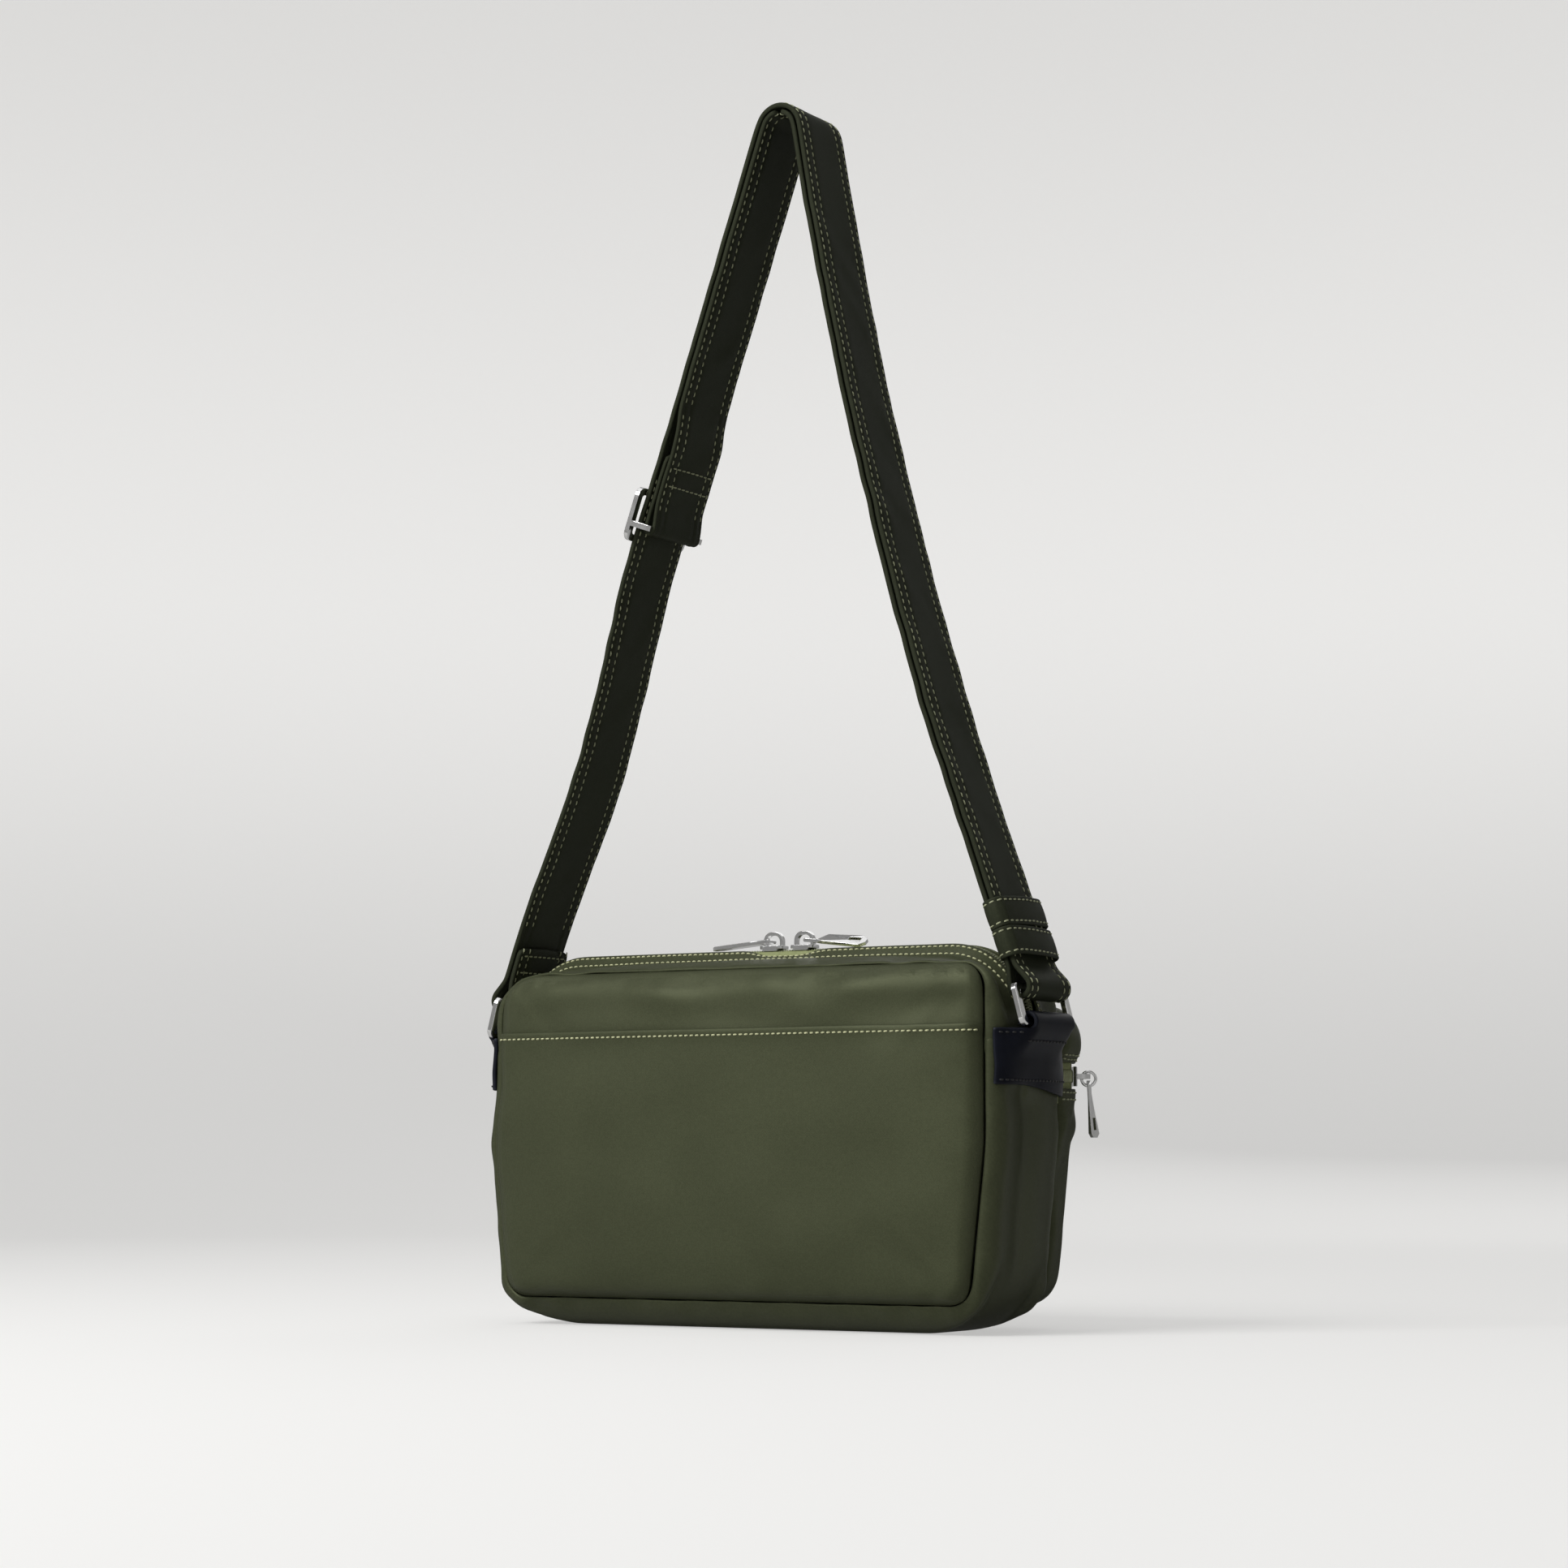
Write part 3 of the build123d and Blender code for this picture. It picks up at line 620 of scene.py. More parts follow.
SEAM_TOP_RADIUS = 21.0
SEAM_FAR_RADIUS = 12.0                 # the rear seam turns more tightly at its -X top corner
SEAM_FOOT_RADIUS = 10.0
HEM = box_mm("back_pocket")[1][2]      # top edge of the slip pocket
HEM_STITCHES = HEM - 3.2

WALL_Y = [SEAM_Y, 30.7, 29.7, 28.4, 26.4, 23.6, 20.0, 16.0, 12.5, 10.0, 7.8, ZIP_EDGE, 3.0, 0.0]
WALL_Y += [-y for y in reversed(WALL_Y[:-1])]


def near_sliders(x):
    """1 where the coil stands up between the two parked sliders, 0 away from them."""
    return smoothstep(-34, -18, x) * (1 - smoothstep(-3, 9, x))


def shell_ring(y):
    """The bag's outline at depth y, with each seam pulled in between two swelling edges."""
    depth = min(abs(y) / SEAM_Y, 1.0)
    swell = (1 - depth ** (5 if y > 0 else 2.6)) ** 0.5
    inner = 1 - smoothstep(19.0, SEAM_Y, abs(y))
    foot = SEAM_FOOT * (max(0.0, abs(y) - FLAT_HALF) / (SEAM_Y - FLAT_HALF)) ** 2.2
    from_zip = max(abs(y) - ZIP_EDGE, 0.0)
    climb = (ZIP_TOP - SEAM_TOP - ZIP_PEAK) * (1 - from_zip / (SEAM_Y - ZIP_EDGE)) ** 0.6
    climb += ZIP_PEAK * math.exp(-(from_zip / 4.0) ** 1.6)

    def radius(at_seam, inside):
        return at_seam + (inside - at_seam) * inner

    flat = outline_points(SEAM_X + END_BULGE * swell, foot, SEAM_TOP + climb, radius(SEAM_TOP_RADIUS, TOP_RADIUS + 6),
                          radius(SEAM_FOOT_RADIUS, FOOT_RADIUS + 5),
                          radius(SEAM_FAR_RADIUS if y > 0 else SEAM_TOP_RADIUS, TOP_RADIUS + 6))
    lip = 1.9 - 2.8 * near_sliders(flat[:, 0])
    flat[:, 1] += lip * hump(from_zip, 0, 3.0) * smoothstep(140, 158, flat[:, 1])
    return np.column_stack([flat[:, 0], np.full(AROUND, y), flat[:, 1]])


def rear_pad(distance):
    """The rear panel's padding rises steeply from the seam and crowns towards the middle."""
    return 4.0 * (1 - np.exp(-distance / 1.7)) + 1.0 * smoothstep(0, 60, distance)


def front_pad(distance):
    return -1.8 * (1 - np.exp(-distance / 3.0))


shell = SoftBox([shell_ring(y) for y in WALL_Y], rear_pad, front_pad)
rear_seam, front_seam = shell.ring(0), shell.ring(shell.count - 1)
x, y, z = shell.points.T               # these follow the points as they move
pins = np.zeros(len(x))
pins[:AROUND] = 1.0
pins[(shell.count - 1) * AROUND:shell.count * AROUND] = 1.0
pins[shell.on_wall & (np.abs(y) <= ZIP_EDGE + 0.1) & (z > 100)] = 1.0
pins[shell.on_wall & (z < 0.6)] = 1.0
under_tab = shell.on_wall & (z > 104) & (z < 131) & (np.abs(x) > 100)
pins[under_tab] = np.maximum(pins[under_tab], 0.9)         # the leather holds the fabric flat
shell.swell(pins, pressure=4.0, cap=2.5)

# puckers beside every seam, and slow folds over all the fabric
gap = nearest_distance(shell.points, np.vstack([rear_seam, front_seam]))
pucker = noise_at(x / 9, z / 9, y / 26)
at_corner = hump(np.abs(x), 112, 16) * (hump(z, 150, 16) + hump(z, 12, 14))
on_rear = y > SEAM_Y
slow = noise_at(x / 42, z / 30, y / 30 + 7) * (1 + 1.4 * on_rear)
slow += 3.2 * on_rear * noise_at(x / 48, z / 12, 3.3) * smoothstep(HEM - 4, HEM + 6, z)
ridge_height = 149.5 + 5.0 * noise_at(x / 46, 0.5, 9.1)
ridge_rise = 2.4 + 3.0 * noise_at(x / 30, 4.5, 2.2)
# the -X end's fabric lies in a soft upright fold behind the rear seam
on_end = smoothstep(112, 124, -x) * smoothstep(8, 40, z) * (1 - 0.75 * smoothstep(98, 118, z)) * shell.on_wall
lean = y + 2.5 * noise_at(z / 34, 1.7, 5.0)
folds = (0.38 * slow + ridge_rise * hump(z, ridge_height, 6.5) * on_rear
         + on_end * (1.3 * hump(lean, 25.5, 4.0) - 2.3 * hump(lean, 6, 10.0)))
puckers = (1.7 + 3.6 * at_corner) * pucker * np.exp(-gap / 6.0) * smoothstep(0, 2.5, gap)
shell.points += shell.normals() * ((1 - pins) * (puckers + folds * smoothstep(2, 14, gap)))[:, None]
# the +X end is a little fuller below the leather
end_swell = smoothstep(60, 125, x) * (1 - smoothstep(76, 112, z))
x *= 1 + 0.024 * end_swell * smoothstep(-25, 30, z)
z[:] = np.maximum(z, 0.0)

OUTLINE_LENGTH = 780
arc = np.linspace(0, OUTLINE_LENGTH, AROUND, endpoint=False)
face_middle = np.array([shell.points[list(f)].mean(0) for f in shell.faces])
is_wall = shell.part == "wall"
in_slot = is_wall & (np.abs(face_middle[:, 1]) < ZIP_EDGE) & (face_middle[:, 2] > BAND_END)
is_band = is_wall & (face_middle[:, 2] > BAND_END) & ~in_slot
LAP = 7                                # the gusset runs this far up over the bands

SHELL_PARTS = (                        # name, faces, CAD node, thickness
    ("rear_panel", shell.part == "first", "back_panel", 1.6),
    ("front_panel_cover", shell.part == "last", "front_panel", 1.0),
    ("gusset", is_wall & ~in_slot & (face_middle[:, 2] < BAND_END + LAP), "main_gusset", 1.3),
    ("band_rear", is_band & (face_middle[:, 1] > 0), "top_band_rear", 1.3),
    ("band_front", is_band & (face_middle[:, 1] < 0), "top_band_front", 1.3),
)


def thicken(obj, thickness):
    """Gives a sheet its thickness on the inner side and smooths it."""
    face_away(obj)
    bake_modifiers(obj, thickness, offset=-1.0, subdivide=1)


pieces = {}
shell_uv = shell.uv(arc)
for name, keep, _, _ in SHELL_PARTS:
    pieces[name] = shell.piece(name, keep, shell_uv)
    face_away(pieces[name])
for name in ("band_rear", "band_front"):
    for vertex in pieces[name].data.vertices:      # tucked under the gusset where the two lap
        vertex.co.x *= 1 - 0.004 * float(1 - smoothstep(BAND_END + 6, BAND_END + 12, vertex.co.z / MM))

# slip pocket: the rear panel's surface, lifted by a sheet's thickness and cut at its hem
HEM_ROLL = 1.2
slip = copy_of(pieces["rear_panel"], "slip_pocket")
with edited(slip) as mesh:
    cut_at(mesh, HEM, clear_outer=True)
    cut_at(mesh, HEM - HEM_ROLL)
for vertex in slip.data.vertices:
    place = np.array(vertex.co) / MM
    from_seam = nearest_distance(place[None], rear_seam)[0]
    lift = 2.1 * smoothstep(0.0, 5.0, from_seam)
    roll = 0.9 * (smoothstep(HEM - 8.0, HEM - 1.5, place[2]) - 0.8 * smoothstep(HEM - HEM_ROLL, HEM, place[2]))
    dip = 0.45 * hump(place[2], HEM_STITCHES, 0.9)
    vertex.co.y += float(lift + roll * smoothstep(0, 10, from_seam) - dip) * MM

ROW_INSETS = (1.6, 4.6)                # of the two rows beside the zip
hem_stitches = Stitches("stitches_hem", "bag", "shell_nylon", width=0.9)
pocket_stitches = Stitches("stitches_pocket", "bag", "shell_nylon", material=OLIVE_THREAD, width=0.75)
band_stitches = Stitches("stitches_bands", "bag", "shell_nylon", width=0.85)
hem_line = [(x, 80.0, HEM_STITCHES) for x in np.linspace(-SEAM_X + 1.5, SEAM_X - 1.5, 160)]
hem_stitches.row(*lay_on(surface_of(slip), hem_line, (0, -1, 0)))
hem_stitches.build()

# two rows of topstitching beside each side of the zip, over the top and down both ends
UNDER_LEATHER = 13                     # the rows' ends are this far over the bands' ends
over_top = list(range(AROUND - SHORT, AROUND)) + list(range(0, LONG + SHORT))
shell_normals = shell.normals()


def wall_line(y):
    """Points and normals of the shell at depth y, from one end over the top to the other."""
    row = float(np.interp(-y, -np.array(WALL_Y), np.arange(shell.count)))
    line, facing = (shell.at_row(values, row)[over_top] for values in (shell.points, shell_normals))
    keep = line[:, 2] > BAND_END + UNDER_LEATHER
    return line[keep], facing[keep]


for name, _, node, thickness in SHELL_PARTS:
    thicken(pieces[name], thickness)
    finish_piece(pieces[name], "bag", NYLON, (node,))
for side, name in ((1, "band_rear"), (-1, "band_front")):
    band_tree = surface_of(pieces[name])
    for inset in ROW_INSETS:
        band_stitches.row(*settle(band_tree, *wall_line(side * (ZIP_EDGE + inset))))
band_stitches.build()
thicken(slip, 1.1)
finish_piece(slip, "bag", NYLON, ("back_pocket",))


# ------------------------------------------------------------------ front pocket
hood_low, hood_high = box_mm("front_pocket_hood")
pouch_low, pouch_high = box_mm("front_pocket_pouch")
POCKET_X = hood_high[0]
POCKET_BACK = hood_high[1]
POCKET_FRONT = hood_low[1]
POCKET_TOP = hood_high[2] + 5.0          # the hood stands a little fuller than its pattern
POCKET_FOOT = pouch_low[2]
POCKET_ZIP = (hood_low[2] + pouch_high[2]) / 2
POCKET_SLOT = (hood_low[2] - pouch_high[2]) / 2
POCKET_CORNER = 14.0
CORNER_X = POCKET_X - POCKET_CORNER
CORNER_Y = POCKET_FRONT + POCKET_CORNER


def pocket_ring(inset, y):
    flat = outline_points(POCKET_X - inset, POCKET_FOOT + inset, POCKET_TOP - inset, max(16 - inset, 4),
                          max(15 - inset, 5))
    return np.column_stack([flat[:, 0], np.full(AROUND, y), flat[:, 1]])


pocket_rings = [pocket_ring(inset, POCKET_BACK - out) for inset, out in ((5.5, 0.1), (1.6, 2.2), (0.3, 5), (0, 9))]
pocket_rings += [pocket_ring(POCKET_CORNER * (1 - math.cos(a)), CORNER_Y - POCKET_CORNER * math.sin(a))
                 for a in np.radians(np.linspace(0, 90, 7))]
pocket = SoftBox(pocket_rings, lambda distance: 0 * distance, lambda distance: -0.9 * smoothstep(0, 40, distance))
x, y, z = pocket.points.T
from_zip = np.abs(z - POCKET_ZIP)
pins = 1 - smoothstep(7.0, 13.0, from_zip)
pins[:AROUND] = 1.0
pocket.swell(pins, pressure=4.0, cap=1.8, slack=0.01)
# the pouch narrows and draws back below the zip; the hood stands a little wider than it
below = 1 - smoothstep(POCKET_ZIP - 30, POCKET_ZIP - 23, z)
clear_of_zip = smoothstep(6.0, 11.0, np.abs(z - POCKET_ZIP))
over_zip = smoothstep(-4, 4, z - POCKET_ZIP)
x *= 1 + (0.002 + 0.022 * over_zip) * clear_of_zip * (1 - below) - 0.016 * below
y += below * 3.0 * smoothstep(POCKET_BACK - 3, POCKET_FRONT, y)
ridge = hump(z, POCKET_ZIP - 17 + 2.5 * noise_at(x / 30), 4.0)
wrinkle = noise_at(x / 11, y / 14, z / 9) * np.exp(-np.maximum(from_zip - 6, 0) / 9)
broad = noise_at(x / 48, y / 30 + 3, z / 34)
pocket.points += pocket.normals() * ((1 - pins) * (0.7 * wrinkle + 0.8 * broad + 0.3 * ridge))[:, None]
y[:] = np.minimum(y, POCKET_BACK)


def pocket_part(name, z, up):
    """The pocket above or below its zip."""
    obj = pocket.piece(name, pocket.part != "first", pocket.uv(arc))
    with edited(obj) as mesh:
        cut_at(mesh, z, up, clear_inner=True)
    face_away(obj, centre=(0, -0.04, 0.07))
    return obj


def around_pocket(z):
    """A line round the pocket's two ends and front at height z."""
    turn = np.linspace(0.1, math.pi / 2 - 0.1, 10)
    ends = np.linspace(POCKET_BACK - 3, CORNER_Y, 8)
    path = [(-POCKET_X, y) for y in ends]
    path += [(-CORNER_X - POCKET_CORNER * math.cos(a), CORNER_Y - POCKET_CORNER * math.sin(a)) for a in turn]
    path += [(x, POCKET_FRONT) for x in np.linspace(-CORNER_X, CORNER_X, 90)]
    path += [(CORNER_X + POCKET_CORNER * math.sin(a), CORNER_Y - POCKET_CORNER * math.cos(a)) for a in turn]
    path += [(POCKET_X, y) for y in ends[::-1]]
    return [(x, y, z) for x, y in path]


hood = pocket_part("pocket_hood", POCKET_ZIP + POCKET_SLOT, 1)
pouch = pocket_part("pocket_pouch", POCKET_ZIP - POCKET_SLOT, -1)
for obj, side in ((hood, 1), (pouch, -1)):
    sheet = surface_of(obj)
    thicken(obj, 1.2)
    tree = surface_of(obj)
    for inset in (1.7, 4.7):
        line = around_pocket(POCKET_ZIP + side * (POCKET_SLOT + inset))
        pocket_stitches.row(*settle(tree, *nearest_on(sheet, line)))
pocket_stitches.build()
finish_piece(hood, "bag", NYLON, ("front_pocket_hood",))
finish_piece(pouch, "bag", NYLON, ("front_pocket_pouch",))


# ------------------------------------------------------------------ zips
TAPE_DEPTH = 2.2
TOOTH_PITCH = 1.3
TOOTH_LEAN = 0.28
TOOTH_STATIONS = ((-0.35, 0.0, 0.62), (0.15, 0.55, 0.95), (1.2, 0.6, 0.85), (2.3, 0.45, 0.8), (2.85, 0.0, 0.5))


def coil_teeth(name, path, outward, across, node_names):
    """Both halves of a closed coil: bent teeth on each side, staggered so that they interlock."""
    count = int(distance_along(path)[-1] / TOOTH_PITCH)
    middle = resample(path, 2 * count + 1)
    out = unit(resample(outward, 2 * count + 1))
    angles = np.pi * (np.arange(6)[:, None] + 0.5) / 3
    for side, label, node in zip((1, -1), "ab", node_names):
        points, faces = [], []
        cross = np.array(across, float) * side
        for i in range(1 if side > 0 else 0, 2 * count, 2):
            ahead = unit(middle[i + 1] - middle[max(i - 1, 0)])
            rings = [middle[i] + cross * u + ahead * (TOOTH_LEAN * u + 0.5 * fat * np.cos(angles))
                     + out[i] * (0.1 + 0.35 * rise + (0.55 + 0.4 * rise) * np.sin(angles))
                     for u, rise, fat in TOOTH_STATIONS]
            more_points, more_faces = tube(np.array(rings), start=len(points))
            points.extend(more_points)
            faces.extend(more_faces)
        obj = make_object(f"{name}_{label}", points, faces)
        face_outwards(obj)
        finish_piece(obj, "bag", COIL, (node,))


CREST = ZIP_TOP + 2.8 - TAPE_DEPTH     # the coil's height over the top of the bag
crest = outline_points(gusset_high[0] - TAPE_DEPTH, TAPE_DEPTH, CREST, TOP_RADIUS + END_BULGE - TAPE_DEPTH,
                       FOOT_RADIUS)
crest = resample(np.column_stack([crest[:, 0], np.zeros(AROUND), crest[:, 1]])[over_top], 400)
ahead = np.gradient(crest, axis=0)
crest_out = unit(np.column_stack([-ahead[:, 2], 0 * ahead[:, 0], ahead[:, 0]]))
crest_out *= math.copysign(1, crest_out[len(crest_out) // 2][2])
coil_part = crest[:, 2] > box_mm("main_zip_coil_rear")[0][2] + 0.4
coil_teeth("main_coil", crest[coil_part], crest_out[coil_part], (0, 1, 0),
           ("main_zip_coil_rear", "main_zip_coil_front"))

# woven tapes beside the coil: distance from the middle, and how far below the coil
TAPE_PROFILE = np.array([(2.5, 0.0), (4.0, 0.1), (5.2, 0.6), (6.6, 2.2), (9.0, 4.2), (13.0, 6.4)])
tape_part = crest[:, 2] > box_mm("main_zip_tape_rear")[0][2]
tape_path, tape_out = crest[tape_part][::3, None], crest_out[tape_part][::3, None]
for side, label in ((1, "rear"), (-1, "front")):
    rows = tape_path + TAPE_PROFILE[:, :1] * (0, side, 0) - tape_out * TAPE_PROFILE[:, 1:]
    count, wide = rows.shape[:2]
    uv = np.stack(np.meshgrid(TAPE_PROFILE[:, 0], np.linspace(0, count, count)), -1).reshape(-1, 2)
    tape = make_object("main_tape_" + label, rows.reshape(-1, 3), grid_faces(count, wide, closed=False), uv=uv)
    face_outwards(tape)
    bake_modifiers(tape, 0.6)
    finish_piece(tape, "bag", TAPE, ("main_zip_tape_" + label,))

# the pocket's zip runs from one end, round both corners, to the other end
inner_corner = POCKET_CORNER - TAPE_DEPTH
coil_back = box_mm("pocket_zip_coil_upper")[1][1]
half_track = [(-CORNER_X - inner_corner, y, POCKET_ZIP) for y in np.linspace(coil_back, CORNER_Y, 12)[:-1]]
half_track += [(-CORNER_X - inner_corner * math.cos(a), CORNER_Y - inner_corner * math.sin(a), POCKET_ZIP)
               for a in np.linspace(0, math.pi / 2, 16)]
half_track = np.array(half_track)
track = resample(np.vstack([half_track, half_track[::-1] * (-1, 1, 1)]), 700)


def track_normal(x, y):
    """The outward direction of the pocket's zip at a place on it."""
    if y > CORNER_Y:
        return (math.copysign(1, x), 0, 0)
    if abs(x) < CORNER_X:
        return (0, -1, 0)
    return tuple(unit((x - math.copysign(CORNER_X, x), y - CORNER_Y, 0)))


coil_teeth("pocket_coil", track, [track_normal(x, y) for x, y, _ in track], (0, 0, 1),
           ("pocket_zip_coil_upper", "pocket_zip_coil_lower"))


# ------------------------------------------------------------------ two pulls that lie turned
def turned_by(first, second, angle):
    return first * math.cos(angle) - second * math.sin(angle), first * math.sin(angle) + second * math.cos(angle)


ROLL = math.radians(35)                # the left pull's tag lies rolled on its long edge
rolled = copy_of(frame["nodes"]["main_pull_left"], "pull_left_rolled")
for vertex in rolled.data.vertices:
    x, y, z = np.array(vertex.co) / MM
    on_tag = float(smoothstep(-24.6, -30.5, x))
    axis_z = 169.9 + (x + 28.3) * 0.0875       # the lying tag's own middle line
    y, rise = turned_by(y, z - axis_z, -ROLL * on_tag)
    vertex.co.y = y * MM
    vertex.co.z = (axis_z + rise + 1.6 * on_tag - 0.6 * float(smoothstep(-36, -50, x))) * MM
finish_piece(rolled, "main_pull_left", METAL, ("main_pull_left",))

TURN = math.radians(-35)               # the pocket's hanging tab is turned about its own length
SWUNG = np.array([-0.83, -0.55])       # and its tip is swung this way, clear of the pouch
turned_tab = copy_of(frame["nodes"]["pocket_pull_tab"], "pocket_tab_turned")
tab_centre = sum(box_mm("pocket_pull_tab"))[:2] / 2
for vertex in turned_tab.data.vertices:
    place = np.array(vertex.co) / MM
    turn = TURN * float(smoothstep(106.5, 101.0, place[2]))
    flat = tab_centre + turned_by(*(place[:2] - tab_centre), turn) + SWUNG * 2.2 * smoothstep(108.0, 84.0, place[2])
    vertex.co = (flat[0] * MM, flat[1] * MM, vertex.co.z)
finish_piece(turned_tab, "pocket_pull", METAL, ("pocket_pull_tab",))


# ------------------------------------------------------------------ strap: paths, in x and z
CROWN = np.array([-15.0, 537.0])
CROWN_RADIUS = 9.7
LEFT_RADIUS = 1987.0
LEFT_TOP_ANGLE = 9.7
LEFT_LOW_ANGLE = 18.3
RING_BAR = np.array([134.59, 146.47])  # the +X ring's upper bar
LEFT_BAR = RING_BAR * (-1, 1)
STRAP_HALF = 19.0
PLY = 1.5                              # each layer's middle lies this far from the strap's mid-plane
RIGHT_UP = np.array([-0.335942, 0.941883])
RIGHT_OUT = np.array([0.941883, 0.335942])
ADJUSTER_Z = sum(box_mm("adjuster_frame"))[2] / 2
ADJUSTER_ALONG = (ADJUSTER_Z - RING_BAR[1] - 4.3 * RIGHT_OUT[1]) / RIGHT_UP[1]
SEWN_THICKNESS = 2.15
STRAP_THICKNESS = 2.5
BOW = 5.0


def left_normal(degrees):
    return np.array([-math.cos(math.radians(degrees)), math.sin(math.radians(degrees))])


STUB_OUT = left_normal(20.2)           # the -X leg's lowest part leans at this angle
STUB_UP = np.array([STUB_OUT[1], -STUB_OUT[0]])


def right_leg(along, out):
    """Points of the +X leg: along it from the ring's upper bar, and out from its mid-plane, with a slack bow."""
    along, out = np.broadcast_arrays(np.asarray(along, float), np.asarray(out, float))
    slack = BOW * np.sin(math.pi * np.clip((along - 20) / (ADJUSTER_ALONG - 40), 0, 1)) ** 2
    return RING_BAR + along[:, None] * RIGHT_UP + (out - slack)[:, None] * RIGHT_OUT


def left_stub(along, out):
    along, out = np.broadcast_arrays(np.asarray(along, float), np.asarray(out, float))
    return LEFT_BAR + along[:, None] * STUB_UP + out[:, None] * STUB_OUT


def left_arc(degrees, out):
    centre = CROWN + left_normal(LEFT_TOP_ANGLE) * (CROWN_RADIUS + LEFT_RADIUS)
    return np.array([centre - left_normal(a) * (LEFT_RADIUS - out) for a in degrees])


def crown_arc(first, last, out, steps=26):
    """Points over the crown; angles in degrees from +X towards +Z."""
    a = np.radians(np.linspace(first, last, steps))
    return CROWN + (CROWN_RADIUS + out) * np.column_stack([np.cos(a), np.sin(a)])


LOOP_RADIUS = 5.0
LOOP_SHIFT = 0.7
LOOP_CLOSE = 8.5                       # the loop's two sides meet this far above the bar


def hanging_loop(leg):
    """The loop round a ring's upper bar, from the inner ply, under the bar, to the outer ply."""
    def leaves(out, side):
        """The angle at which the ply at this distance leaves the loop."""
        spread = math.acos(LOOP_RADIUS / math.hypot(LOOP_CLOSE, out - LOOP_SHIFT))
        return math.atan2(out - LOOP_SHIFT, LOOP_CLOSE) + side * spread
    a = np.linspace(leaves(-PLY, -1), leaves(PLY, 1) - 2 * math.pi, 40)
    return leg(LOOP_RADIUS * np.cos(a), LOOP_SHIFT + LOOP_RADIUS * np.sin(a))


def smooth_path(points, step, passes):
    """Even steps along a polyline with its corners eased."""
    path = resample(points, int(distance_along(points)[-1] / step))
    for _ in range(passes):
        path[1:-1] = (path[:-2] + 2 * path[1:-1] + path[2:]) / 4
    return path


def thin_out(path, most=4.0, bend_limit=math.radians(9)):
    """Keeps close points where the path bends and points at most this far apart where it runs straight."""
    ahead = np.diff(path, axis=0)
    step = np.linalg.norm(ahead, axis=1)
    angle = np.unwrap(np.arctan2(ahead[:, 1], ahead[:, 0]))
    bend = np.abs(np.diff(angle, prepend=angle[0]))
    kept, run, turned = [0], 0.0, 0.0
    for k in range(len(ahead)):
        run += step[k]
        turned += bend[k]
        if run > most or turned > bend_limit:
            kept.append(k + 1)
            run, turned = 0.0, 0.0
    if kept[-1] != len(path) - 1:
        kept[-1] = len(path) - 1
    return path[kept]


def visible_side(path):
    """Unit normals of an XZ path, to the side that shows."""
    ahead = unit(np.gradient(path, axis=0))
    return np.column_stack([ahead[:, 1], -ahead[:, 0]])


TAIL_END = 27.0
leg_length = float((CROWN - RING_BAR) @ RIGHT_UP)
right_angle = math.degrees(math.atan2(RIGHT_OUT[1], RIGHT_OUT[0]))
left_turn = 180 - LEFT_TOP_ANGLE
left_down = np.linspace(LEFT_TOP_ANGLE + 0.1, LEFT_LOW_ANGLE - 0.4, 80)
stub_down = np.linspace(80, LOOP_CLOSE, 30)
main_path = np.vstack([
    right_leg(np.linspace(TAIL_END, LOOP_CLOSE, 12), -PLY), hanging_loop(right_leg),
    right_leg(np.linspace(LOOP_CLOSE, leg_length - 2, 120), PLY), crown_arc(right_angle, left_turn, PLY),
    left_arc(left_down, PLY), left_stub(stub_down, PLY), hanging_loop(left_stub)[::-1],
    left_stub(stub_down[::-1], -PLY), left_arc(left_down[::-1], -PLY), crown_arc(left_turn, 90, -PLY),
])
main_path = thin_out(smooth_path(main_path, 0.8, 14))

ADJUSTER_BAR = (-4.5, -4.9)            # the bar that the inner layer turns round: along and out
BAR_RADIUS = 2.5
SEWN = (8.0, 32.0)                     # the sewn end's tail lies between the two layers here
SEWN_OUT = -4.5
spread_along = np.linspace(58, SEWN[0], 26)
spread_out = -PLY + (SEWN_OUT + PLY) * smoothstep(-56, -34, -spread_along)
a = np.radians(np.linspace(-100, -262, 16))
inner_path = np.vstack([
    crown_arc(90, right_angle, -PLY), right_leg(np.linspace(leg_length - 2, ADJUSTER_ALONG + 60, 40), -PLY),
    right_leg(ADJUSTER_ALONG + spread_along, spread_out),
    right_leg(ADJUSTER_ALONG + ADJUSTER_BAR[0] + BAR_RADIUS * np.cos(a), ADJUSTER_BAR[1] + BAR_RADIUS * np.sin(a)),
    right_leg(ADJUSTER_ALONG + np.linspace(*SEWN, 12), SEWN_OUT + 2.4),
])
inner_path = thin_out(smooth_path(inner_path, 0.6, 10))


# ------------------------------------------------------------------ strap: quilted layers and their stitches
ROW_PLACES = (17.0, 12.2)              # stitch rows, from the strap's middle
ACROSS = np.array([0, 3.5, 7, 9.8, 11.2, 12.2, 13.2, 14.6, 16, 17.0, 17.8, 18.4, 18.8])
ACROSS = np.concatenate([-ACROSS[::-1], ACROSS[1:]])


def face_height(y, thickness):
    """Half thickness of the quilted strap at y: a groove along each stitch row and rolled edges."""
    y = np.abs(y)
    groove = 0.3 * sum(hump(y, row, 0.75) for row in ROW_PLACES)
    swell = 0.16 * hump(y, 14.6, 1.3) + 0.14 * hump(y, 9.0, 2.5)
    edge = np.sqrt(np.clip(1 - np.clip((y - 18.0) / 1.05, 0, 1) ** 2, 0, 1))
    return (thickness / 2 - groove + swell) * edge


